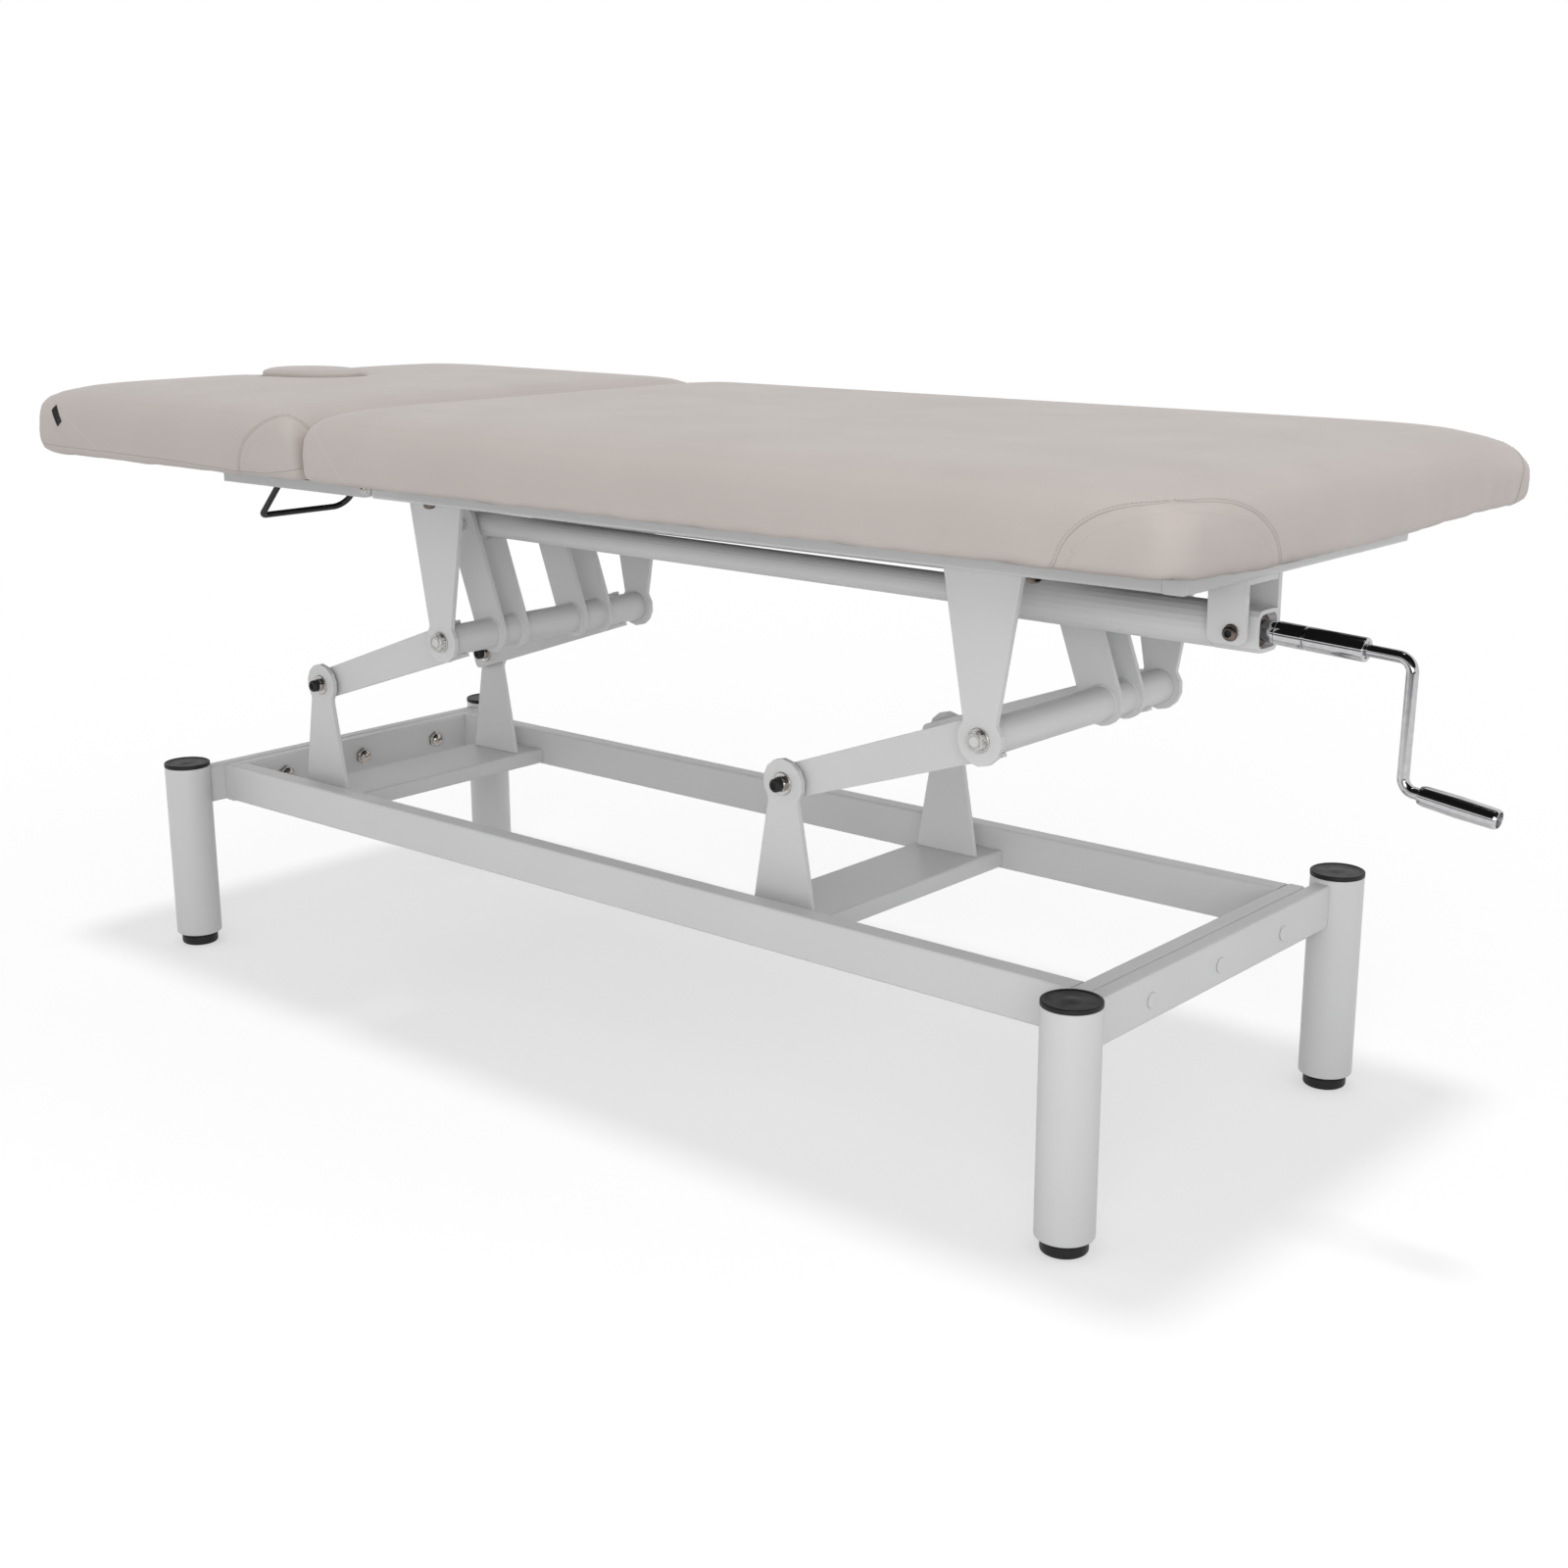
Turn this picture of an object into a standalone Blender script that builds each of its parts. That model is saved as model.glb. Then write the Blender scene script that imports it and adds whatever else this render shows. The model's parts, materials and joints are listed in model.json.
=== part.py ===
# Crank-height treatment table: two upholstered sections on a steel parallelogram lift.
# Metres, +Z up. The origin is on the floor, under the middle of the whole outline.
# +X points to the crank end, and +Y to the far side.

import math

import bmesh
import bpy
from mathutils import Vector

# Running and seating clearance between neighbouring pieces
gap = 0.0003

# Base frame on four legs
leg_radius = 0.030
leg_wall = 0.002
leg_x = 0.714
leg_y = 0.270
leg_length = 0.239
foot_height = 0.012
foot_radius = 0.024
base_half_width = 0.220
rail_height = 0.050
rail_width = 0.025
rail_wall = 0.002
rail_corner = 0.003
rail_below_leg_top = 0.005
end_rail_width = 0.020
end_rail_past_leg_axis = 0.006

# Parallelogram lift: two rockers between the base and the top frame
front_pivot_from_leg = 0.1536
rocker_spacing = 0.8185
lower_pivot_height = 0.3653
arm_length = 0.2920
arm_angle = math.radians(18.88)
arm_thickness = 0.008
arm_to_lug = 0.005
lug_thickness = 0.006
lower_lug_y = 0.152
upper_lug_in = 0.052
torque_radius = 0.019
torque_wall = 0.003

# Cross members that carry the lugs
cross_width = 0.105
cross_height = 0.021
cross_below_rail_top = 0.0265

# Top frame
top_rail_bottom = 0.638
top_rail_size = 0.025
top_rail_wall = 0.002
top_half_width = 0.224
top_end_x = 0.7895

# Boards and cushions
board_thickness = 0.0097
board_inset = 0.016
board_side_inset = 0.070
board_crank_inset = 0.045
cushion_half_width = 0.361
cushion_end_x = 0.8626
cushion_height = 0.0885
head_length = 0.577
split_x = -0.309
head_hinge_from_split = 0.048
head_hinge_below_cushion = 0.0226

# Screw jack and crank
jack_y = -0.070
tie_y = 0.0755
jack_pin_x = 0.7696
jack_pin_below_rail = 0.0515
jack_outer_radius = 0.0225
jack_inner_radius = 0.015
housing_half = 0.0205
lever_lean = math.radians(20.0)
lever_end_radius = 0.025
lever_thickness = 0.006
lever_below_cross = 0.0104
lever_pin_radius = 0.005

# Places that follow from the sizes above
front_pivot_x = front_pivot_from_leg - leg_x
upper_lug_y = top_half_width - upper_lug_in
head_hinge_x = split_x - head_hinge_from_split
leg_top = foot_height + leg_length
rail_top = leg_top - rail_below_leg_top
rail_middle = rail_top - rail_height / 2
end_rail_outer = leg_x + end_rail_past_leg_axis
end_rail_middle = end_rail_outer - end_rail_width / 2
end_member_outer = end_rail_outer - end_rail_width - gap
end_member_inner = end_member_outer - end_rail_width
cross_top = rail_top - cross_below_rail_top
cross_half_length = base_half_width - rail_width - gap
lower_arm_face = lower_lug_y - lug_thickness / 2 - arm_to_lug
arm_y = lower_arm_face - arm_thickness / 2
arm_dx = arm_length * math.cos(arm_angle)
arm_dz = arm_length * math.sin(arm_angle)
rear_pivot_x = front_pivot_x + rocker_spacing
front_lower = Vector((front_pivot_x, 0, lower_pivot_height))
rear_lower = Vector((rear_pivot_x, 0, lower_pivot_height))
front_upper = front_lower + Vector((arm_dx, 0, arm_dz))
rear_upper = rear_lower + Vector((arm_dx, 0, arm_dz))
top_rail_top = top_rail_bottom + top_rail_size
top_cross_half_length = top_half_width - top_rail_size - gap
board_bottom = top_rail_top + gap
board_top = board_bottom + board_thickness
cushion_bottom = board_top + gap
lever_room = top_rail_bottom - front_upper.z
lever_reach = lever_room - lever_end_radius - lever_below_cross
lever_offset = Vector((-math.sin(lever_lean), 0, math.cos(lever_lean))) * lever_reach
front_pin = front_upper + lever_offset
rear_pin = rear_upper + lever_offset
jack_pin = Vector((jack_pin_x, 0, top_rail_bottom - jack_pin_below_rail))
jack_span = (front_pin - jack_pin).length
jack_tilt = math.atan2(front_pin.z - jack_pin.z, jack_pin.x - front_pin.x)
hinge_z = cushion_bottom - head_hinge_below_cushion
head_hinge = Vector((head_hinge_x, 0, hinge_z))
head_end_x = split_x - head_length

# Sides of round pieces
round_sides = 24
small_sides = 12

# Crank: collars on the jack axis, then a bent rod to the grip
collar_start = 0.0119
collar_end = 0.0304
sleeve_one_end = 0.0619
groove_width = 0.002
sleeve_two_end = 0.1214
collar_radius = 0.0105
sleeve_radius = 0.0115
groove_radius = 0.0095
crank_rod_radius = 0.00575
crank_rod_reach = 0.045
crank_rod_drop = 0.0082
crank_arm_length = 0.121
crank_arm_splay = 0.0014
crank_bend_radius = 0.013
grip_droop = math.radians(7.6)
grip_start = 0.0178
grip_length = 0.076
grip_radius = 0.0097
grip_recess = 0.006
spindle_radius = 0.0068
spindle_reach = 0.260
bend_one_x = jack_pin_x + sleeve_two_end + crank_rod_reach
bend_two_x = bend_one_x - crank_arm_splay
grip_end_x = bend_two_x + (grip_start + grip_length) * math.cos(grip_droop)

# The outline's middle lies on the origin
middle_x = (head_end_x + grip_end_x) / 2


# Materials
def material(name, color, roughness, metallic):
    made = bpy.data.materials.new(name)
    made.use_nodes = True
    shader = made.node_tree.nodes["Principled BSDF"]
    shader.inputs["Base Color"].default_value = (*color, 1)
    shader.inputs["Roughness"].default_value = roughness
    shader.inputs["Metallic"].default_value = metallic
    made.diffuse_color = (*color, 1)
    return made


for old in list(bpy.data.objects):
    bpy.data.objects.remove(old)

paint_share = 0.63
paint = material("white_powder_coat", (paint_share, paint_share, paint_share), 0.45, 0)
black = material("black_plastic", (0.012, 0.012, 0.013), 0.5, 0)
wire_black = material("black_coated_wire", (0.014, 0.014, 0.015), 0.4, 0)
board_black = material("dark_board", (0.03, 0.03, 0.032), 0.8, 0)
chrome = material("chrome_plate", (0.75, 0.75, 0.76), 0.12, 1)
zinc = material("zinc_plated_steel", (0.6, 0.6, 0.6), 0.35, 1)
cover = material("greige_cover", (0.55, 0.49, 0.46), 0.55, 0)


# Each rigid body hangs on an empty that stands on its joint's axis
places = {}
holders = {}


def holder(name, at, parent):
    empty = bpy.data.objects.new(name + "_pivot", None)
    bpy.context.scene.collection.objects.link(empty)
    places[name] = Vector(at)
    holders[name] = empty
    if parent:
        empty.parent = holders[parent]
        empty.location = places[name] - places[parent]
    else:
        empty.location = places[name] - Vector((middle_x, 0, 0))


holder("base", (0, 0, 0), None)
holder("front_rocker", front_lower, "base")
holder("top_frame", front_upper, "front_rocker")
holder("rear_rocker", rear_upper, "top_frame")
holder("tie", front_pin + Vector((0, tie_y, 0)), "front_rocker")
holder("jack", jack_pin + Vector((0, jack_y, 0)), "top_frame")
holder("jack_rod", jack_pin + Vector((0, jack_y, 0)), "jack")
holder("crank", jack_pin + Vector((0, jack_y, 0)), "jack")
holder("head", head_hinge, "top_frame")


def put(name, bm, look, body, at, tilt=0.0):
    bmesh.ops.recalc_face_normals(bm, faces=bm.faces)
    mesh = bpy.data.meshes.new(name)
    bm.to_mesh(mesh)
    bm.free()
    mesh.materials.append(look)
    mesh.shade_smooth()
    mesh.set_sharp_from_angle(angle=math.radians(35))
    made = bpy.data.objects.new(name, mesh)
    bpy.context.scene.collection.objects.link(made)
    made.parent = holders[body]
    made.location = Vector(at) - places[body]
    made.rotation_euler = (0, tilt, 0)
    return made


def joined(target, tool, operation):
    step = target.modifiers.new(tool.name, "BOOLEAN")
    step.operation = operation
    step.solver = "EXACT"
    step.object = tool
    tool.hide_render = True
    tool.display_type = "WIRE"


# Sizes that let a many-sided hole clear the round piece inside it
def hole_radius(radius, sides, room=gap):
    return (radius + room) / math.cos(math.pi / sides)


def circle(centre, radius, sides, start=0.0, turn=2 * math.pi, closed=True):
    count = sides if closed else sides + 1
    points = []
    for k in range(count):
        angle = start + turn * k / sides
        u = centre[0] + radius * math.cos(angle)
        v = centre[1] + radius * math.sin(angle)
        points.append((u, v))
    return points


def rounded_rectangle(u_low, u_high, v_low, v_high, radius, steps):
    points = []
    corners = (
        (u_high - radius, v_high - radius, 0),
        (u_low + radius, v_high - radius, 1),
        (u_low + radius, v_low + radius, 2),
        (u_high - radius, v_low + radius, 3),
    )
    for u, v, quarter in corners:
        start = quarter * math.pi / 2
        points += circle((u, v), radius, steps, start, math.pi / 2, False)
    return points


# How a flat outline (u, v) and a depth w turn into X, Y and Z
along_x = (lambda u, v, w: (w, u, v))
along_y = (lambda u, v, w: (u, w, v))
along_z = (lambda u, v, w: (u, v, w))


def ring_edges(bm, points):
    made = [bm.verts.new(p) for p in points]
    return [bm.edges.new((made[k - 1], made[k])) for k in range(len(made))]


# A flat outline with holes, drawn out from one depth to another
def prism(outline, holes, low, high, turn):
    bm = bmesh.new()
    edges = []
    for loop in (outline, *holes):
        edges += ring_edges(bm, [turn(u, v, low) for u, v in loop])
    bmesh.ops.triangle_fill(bm, use_beauty=True, edges=edges)
    grown = bmesh.ops.extrude_face_region(bm, geom=list(bm.faces))
    new = [part for part in grown["geom"] if isinstance(part, bmesh.types.BMVert)]
    bmesh.ops.translate(bm, verts=new, vec=turn(0, 0, high - low))
    return bm


# Rings of equal count joined one to the next, closed on themselves or capped
def skin(rings, closed):
    bm = bmesh.new()
    made = [[bm.verts.new(p) for p in ring] for ring in rings]
    count = len(rings[0])
    pairs = list(zip(made, made[1:]))
    if closed:
        pairs.append((made[-1], made[0]))
    else:
        bm.faces.new(made[0])
        bm.faces.new(made[-1])
    for first, second in pairs:
        for k in range(count):
            corners = (first[k - 1], first[k], second[k], second[k - 1])
            bm.faces.new(corners)
    return bm


# Distance from the axis to a section's edge: round, hexagonal or square
def reach(kind, size, angle):
    if kind == "hex":
        part = math.pi / 3
        return size / math.cos((angle + part / 2) % part - part / 2)
    if kind == "square":
        part = math.pi / 2
        flat = size / math.cos((angle + part / 2) % part - part / 2)
        return min(flat, size * square_corner_share)
    return size


square_corner_share = 1.22


# Sections (place on the axis, size, kind) make a turned piece
def turned(sections, sides, turn, closed=False, start=0.0):
    rings = []
    for place, size, kind in sections:
        ring = []
        for k in range(sides):
            angle = start + 2 * math.pi * k / sides
            far = reach(kind, size, angle)
            ring.append(turn(far * math.cos(angle), far * math.sin(angle), place))
        rings.append(ring)
    return skin(rings, closed)


def tube(radius, wall, low, high, sides, turn):
    sections = (
        (low, radius, "round"),
        (high, radius, "round"),
        (high, radius - wall, "round"),
        (low, radius - wall, "round"),
    )
    return turned(sections, sides, turn, closed=True)


# A rectangular tube, its section in (u, v), drawn out along w
def box_tube(u_low, u_high, v_low, v_high, wall, low, high, turn):
    outer = rounded_rectangle(u_low, u_high, v_low, v_high, rail_corner, 2)
    inner = rounded_rectangle(
        u_low + wall, u_high - wall, v_low + wall, v_high - wall, rail_corner - wall, 2
    )
    rings = (
        [turn(u, v, low) for u, v in outer],
        [turn(u, v, high) for u, v in outer],
        [turn(u, v, high) for u, v in inner],
        [turn(u, v, low) for u, v in inner],
    )
    return skin(rings, closed=True)


# A path with its corners rounded, as a list of points
def rounded_path(corners, steps):
    points = [Vector(corners[0][0])]
    for before, here, after in zip(corners, corners[1:], corners[2:]):
        corner = Vector(here[0])
        back = (Vector(before[0]) - corner).normalized()
        ahead = (Vector(after[0]) - corner).normalized()
        half = back.angle(ahead) / 2
        cut = here[1] / math.tan(half)
        middle = corner + (back + ahead).normalized() * here[1] / math.sin(half)
        start = corner + back * cut - middle
        end = corner + ahead * cut - middle
        sweep = start.angle(end)
        for k in range(steps + 1):
            share = k / steps
            near = math.sin((1 - share) * sweep) / math.sin(sweep)
            far = math.sin(share * sweep) / math.sin(sweep)
            points.append(middle + start * near + end * far)
    points.append(Vector(corners[-1][0]))
    return points


# A round bar along a path in steady turns, with its own radius at each point
def swept(points, radii, sides):
    ways = [(b - a).normalized() for a, b in zip(points, points[1:]) if (b - a).length > 0]
    rings = []
    index = 0
    side = ways[0].orthogonal().normalized()
    before = ways[0]
    for k, point in enumerate(points):
        fresh = k > 0 and (point - points[k - 1]).length > 0
        index += 1 if fresh else 0
        into = ways[max(index - 1, 0)]
        out = ways[min(index, len(ways) - 1)]
        way = (into + out).normalized()
        side.rotate(before.rotation_difference(way))
        side = (side - way * side.dot(way)).normalized()
        before = way
        up = way.cross(side)
        ring = []
        for n in range(sides):
            angle = 2 * math.pi * n / sides
            spoke = side * math.cos(angle) + up * math.sin(angle)
            ring.append(point + spoke * radii[k])
        rings.append(ring)
    return skin(rings, closed=False)


# Legs: steel tubes with a black cap above and a black foot below
def legs():
    cap_overhang = 0.001
    cap_rim = 0.003
    cap_dome = 0.002
    plug_depth = 0.014
    edge = 0.0015
    plug = leg_radius - leg_wall - gap
    cap_radius = leg_radius + cap_overhang
    tube_sections = (
        (foot_height, leg_radius - edge, "round"),
        (foot_height + edge, leg_radius, "round"),
        (leg_top, leg_radius, "round"),
        (leg_top, leg_radius - leg_wall, "round"),
        (foot_height, leg_radius - leg_wall, "round"),
    )
    seat = leg_top + gap
    cap_sections = (
        (leg_top - plug_depth, plug, "round"),
        (seat, plug, "round"),
        (seat, cap_radius, "round"),
        (seat + cap_rim, cap_radius, "round"),
        (seat + cap_rim + cap_dome, cap_radius - 2 * cap_dome, "round"),
    )
    foot_sections = (
        (0, foot_radius - edge, "round"),
        (edge, foot_radius, "round"),
        (foot_height + gap, foot_radius, "round"),
        (foot_height + gap, plug, "round"),
        (foot_height + plug_depth, plug, "round"),
    )
    for side, y in (("near", -leg_y), ("far", leg_y)):
        for end, x in (("left", -leg_x), ("right", leg_x)):
            at = (x, y, 0)
            tail = side + "_" + end
            leg = turned(tube_sections, round_sides, along_z, closed=True)
            put("leg_" + tail, leg, paint, "base", at)
            cap = turned(cap_sections, round_sides, along_z)
            put("leg_cap_" + tail, cap, black, "base", at)
            foot = turned(foot_sections, round_sides, along_z)
            put("foot_" + tail, foot, black, "base", at)


# End rails: box tubes welded between two legs, their ends cut to the legs' curve
def end_rails():
    side_steps = 5
    head_radius = 0.006
    head_height = 0.0008
    bolt_share = 0.5
    for end, way in (("left", -1), ("right", 1)):
        rings = []
        for wall, reverse in ((0, False), (rail_wall, True)):
            half = end_rail_width / 2 - wall
            tall = rail_height / 2 - wall
            corner = max(rail_corner - wall, wall / 2)
            flat = half - corner
            outline = rounded_rectangle(-half, half, -tall, tall, corner, 2)
            section = []
            for k, point in enumerate(outline):
                section.append(point)
                after = outline[(k + 1) % len(outline)]
                if abs(after[0] - point[0]) > flat:
                    for step in range(1, side_steps):
                        share = step / side_steps
                        u = point[0] + (after[0] - point[0]) * share
                        section.append((u, point[1]))
            for sign in ((1, -1) if reverse else (-1, 1)):
                ring = []
                for u, v in section:
                    off = way * end_rail_middle + u - way * leg_x
                    depth = math.sqrt((leg_radius + gap) ** 2 - off**2)
                    ring.append((u, sign * (leg_y - depth), v))
                rings.append(ring)
        rail = skin(rings, closed=True)
        at = (way * end_rail_middle, 0, rail_middle)
        made = put("end_rail_" + end, rail, paint, "base", at)
        bolt_y = leg_y * bolt_share
        face = way * (end_rail_width / 2 + head_height)
        root = way * (end_rail_width / 2 - rail_wall / 2)
        for k, y in enumerate((-bolt_y, 0, bolt_y)):
            sections = ((root, head_radius, "round"), (face, head_radius, "round"))
            head = turned(sections, small_sides, along_x)
            spot = (way * end_rail_middle, y, rail_middle)
            name = "end_bolt_head_" + end + "_" + str(k)
            joined(made, put(name, head, paint, "base", spot), "UNION")


# Base frame: two long rails between two end members bolted to the end rails
def base_frame():
    nut_radius = 0.0085
    nut_height = 0.006
    dome_radius = 0.006
    dome_height = 0.011
    bolt_share = 0.5
    tall = rail_height / 2
    half = end_rail_width / 2
    for end, way in (("left", -1), ("right", 1)):
        middle = way * (end_member_outer - half)
        member = box_tube(
            -half, half, -tall, tall, rail_wall, -base_half_width, base_half_width, along_y
        )
        made = put("end_member_" + end, member, paint, "base", (middle, 0, rail_middle))
        bolt_y = leg_y * bolt_share
        root = -way * (half - rail_wall / 2)
        seat = -way * half
        for k, y in enumerate((-bolt_y, 0, bolt_y)):
            sections = (
                (root, nut_radius, "hex"),
                (seat - way * nut_height, nut_radius, "hex"),
                (seat - way * nut_height, dome_radius, "round"),
                (seat - way * dome_height, dome_radius / 2, "round"),
            )
            nut = turned(sections, small_sides, along_x)
            spot = (middle, y, rail_middle)
            name = "end_nut_" + end + "_" + str(k)
            joined(made, put(name, nut, zinc, "base", spot), "UNION")
    end = end_member_inner - gap
    for side, way in (("near", -1), ("far", 1)):
        y = way * (base_half_width - rail_width / 2)
        wide = rail_width / 2
        rail = box_tube(-wide, wide, -tall, tall, rail_wall, -end, end, along_x)
        put("long_rail_" + side, rail, paint, "base", (0, y, rail_middle))
    flat = cross_height / 2
    broad = cross_width / 2
    for name, x in (("front", front_pivot_x), ("rear", rear_pivot_x)):
        cross = box_tube(
            -broad, broad, -flat, flat, rail_wall, -cross_half_length, cross_half_length, along_y
        )
        at = (x, 0, cross_top - flat)
        put("base_cross_member_" + name, cross, paint, "base", at)


# A lug's outline from its wide foot to the round eye about its pivot
def lug_outline(foot_half, neck_half, neck_below, eye_radius, length):
    steps = 10
    begin = -math.asin(min(neck_below * 0.78 / eye_radius, 1))
    points = [(foot_half, -length), (neck_half, -neck_below)]
    points += circle((0, 0), eye_radius, steps, begin, math.pi - 2 * begin, False)
    points += [(-neck_half, -neck_below), (-foot_half, -length)]
    return points


lower_bolt_radius = 0.006
upper_stub_radius = torque_radius - torque_wall - gap


# Lower lugs stand on the base cross members, and each holds a pivot bolt
def lower_lugs():
    foot_half = 0.0435
    neck_half = 0.0215
    neck_below = 0.0233
    eye_radius = 0.028
    washer_radius = 0.013
    washer_height = 0.002
    head_radius = 0.0095
    head_height = 0.008
    nut_height = 0.009
    tip_radius = 0.0078
    tip_height = 0.003
    length = lower_pivot_height - cross_top - gap
    outline = lug_outline(foot_half, neck_half, neck_below, eye_radius, length)
    bore = hole_radius(lower_bolt_radius, small_sides)
    half = lug_thickness / 2
    for name, x in (("front", front_pivot_x), ("rear", rear_pivot_x)):
        for side, way in (("near", -1), ("far", 1)):
            tail = name + "_" + side
            hole = circle((0, 0), bore, small_sides)
            lug = prism(outline, [hole], -half, half, along_y)
            at = (x, way * lower_lug_y, lower_pivot_height)
            put("lower_lug_" + tail, lug, paint, "base", at)
            lug_face = lower_lug_y + half + gap
            arm_face = arm_y - arm_thickness / 2 - gap
            nut_face = -lug_face if way < 0 else arm_face
            head_face = -arm_face if way < 0 else lug_face
            low = nut_face - washer_height
            high = head_face + washer_height
            sections = (
                (low - nut_height - tip_height, tip_radius, "round"),
                (low - nut_height, tip_radius, "round"),
                (low - nut_height, head_radius, "hex"),
                (low, head_radius, "hex"),
                (low, washer_radius, "round"),
                (nut_face, washer_radius, "round"),
                (nut_face, lower_bolt_radius, "round"),
                (head_face, lower_bolt_radius, "round"),
                (head_face, washer_radius, "round"),
                (high, washer_radius, "round"),
                (high, head_radius, "hex"),
                (high + head_height, head_radius, "hex"),
            )
            bolt = turned(sections, small_sides, along_y)
            at = (x, 0, lower_pivot_height)
            put("lower_pivot_bolt_" + tail, bolt, zinc, "base", at)


# Upper lugs hang from the top cross members; each has a stub inside the torque tube
def upper_lugs():
    foot_half = 0.0485
    neck_half = 0.021
    neck_below = 0.0232
    eye_radius = 0.027
    stub_length = 0.020
    washer_radius = 0.013
    washer_height = 0.002
    head_radius = 0.0095
    head_height = 0.007
    length = top_rail_bottom - gap - front_upper.z
    outline = lug_outline(foot_half, neck_half, neck_below, eye_radius, length)
    half = lug_thickness / 2
    for name, pivot in (("front", front_upper), ("rear", rear_upper)):
        for side, way in (("near", -1), ("far", 1)):
            tail = name + "_" + side
            shape = [(u, -v) for u, v in outline]
            lug = prism(shape, [], -half, half, along_y)
            at = pivot + Vector((0, way * upper_lug_y, 0))
            made = put("upper_lug_" + tail, lug, paint, "top_frame", at)
            sections = (
                (-way * (half + stub_length), upper_stub_radius, "round"),
                (0, upper_stub_radius, "round"),
                (0, washer_radius, "round"),
                (way * (half + washer_height), washer_radius, "round"),
                (way * (half + washer_height), head_radius, "hex"),
                (way * (half + washer_height + head_height), head_radius, "hex"),
            )
            stub = turned(sections, round_sides, along_y)
            name_of_stub = "upper_pivot_screw_" + tail
            joined(made, put(name_of_stub, stub, zinc, "top_frame", at), "UNION")


# Two plates on the torque tube, joined by the pin at their upper ends
def fork(name, look, body, pivot, y_middle, half_spread):
    head_radius = 0.008
    head_height = 0.004
    steps = 10
    top = lever_reach
    wide = lever_end_radius
    outline = circle((0, 0), wide, steps, math.pi, math.pi, False)
    outline += circle((0, top), wide, steps, 0, math.pi, False)
    bore = circle((0, 0), hole_radius(torque_radius, round_sides), round_sides)
    half = lever_thickness / 2
    at = pivot + Vector((0, y_middle, 0))
    inner = half_spread - half
    outer = half_spread + half
    plates = []
    for way in (-1, 1):
        low, high = sorted((way * inner, way * outer))
        plate = prism(outline, [bore], low, high, along_y)
        label = name if way < 0 else name + "_far_plate"
        plates.append(put(label, plate, look, body, at, -lever_lean))
    sections = (
        (-outer - head_height, head_radius, "hex"),
        (-outer, head_radius, "hex"),
        (-outer, lever_pin_radius, "round"),
        (outer, lever_pin_radius, "round"),
        (outer, head_radius, "hex"),
        (outer + head_height, head_radius, "hex"),
    )
    pin = turned(sections, small_sides, along_y)
    tip = at + lever_offset
    joined(plates[0], put(name + "_pin", pin, look, body, tip), "UNION")
    joined(plates[0], plates[1], "UNION")


jack_fork_half = 0.0195
tie_fork_half = 0.0225


# Rockers: two arms, their ends cut out to fit the torque tube, and the levers on that tube
def rockers():
    lower_half = 0.019
    upper_half = 0.0235
    tail = 0.025
    tail_corner = 0.008
    steps = 10
    saddle = hole_radius(torque_radius, round_sides)
    outline = [(arm_length, -upper_half)]
    outline += circle((arm_length, 0), saddle, steps, -math.pi / 2, -math.pi, False)
    outline.append((arm_length, upper_half))
    outline += circle(
        (-tail + tail_corner, lower_half - tail_corner), tail_corner, 3, math.pi / 2, math.pi / 2, False
    )
    outline += circle(
        (-tail + tail_corner, tail_corner - lower_half), tail_corner, 3, math.pi, math.pi / 2, False
    )
    bolt_hole = circle((0, 0), hole_radius(lower_bolt_radius, small_sides), small_sides)
    half = arm_thickness / 2
    tube_half = upper_lug_y - lug_thickness / 2 - gap
    rows = (
        ("front", "front_rocker", front_lower, front_upper),
        ("rear", "rear_rocker", rear_lower, rear_upper),
    )
    for name, body, lower, upper in rows:
        for side, way in (("near", -1), ("far", 1)):
            arm = prism(outline, [bolt_hole], -half, half, along_y)
            at = lower + Vector((0, way * arm_y, 0))
            put(name + "_arm_" + side, arm, paint, body, at, -arm_angle)
        shaft = tube(torque_radius, torque_wall, -tube_half, tube_half, round_sides, along_y)
        put(name + "_torque_tube", shaft, paint, body, upper)
        fork(name + "_tie_fork", paint, body, upper, tie_y, tie_fork_half)
    fork("front_jack_fork", paint, "front_rocker", front_upper, jack_y, jack_fork_half)


# Tie bar between the two rockers' levers
def tie_bar():
    bar_half = 0.0125
    bar_thickness = 0.020
    steps = 8
    outline = circle((0, 0), bar_half, steps, math.pi / 2, math.pi, False)
    outline += circle((rocker_spacing, 0), bar_half, steps, -math.pi / 2, math.pi, False)
    bore = hole_radius(lever_pin_radius, small_sides)
    holes = [circle((x, 0), bore, small_sides) for x in (0, rocker_spacing)]
    bar = prism(outline, holes, -bar_thickness / 2, bar_thickness / 2, along_y)
    put("tie_bar", bar, paint, "tie", front_pin + Vector((0, tie_y, 0)))


hinge_ear_radius = 0.0097
hinge_pin_radius = 0.003
hinge_ear_thickness = 0.006
hinge_ear_gap = 0.001
rail_past_hinge = 0.0145


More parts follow.
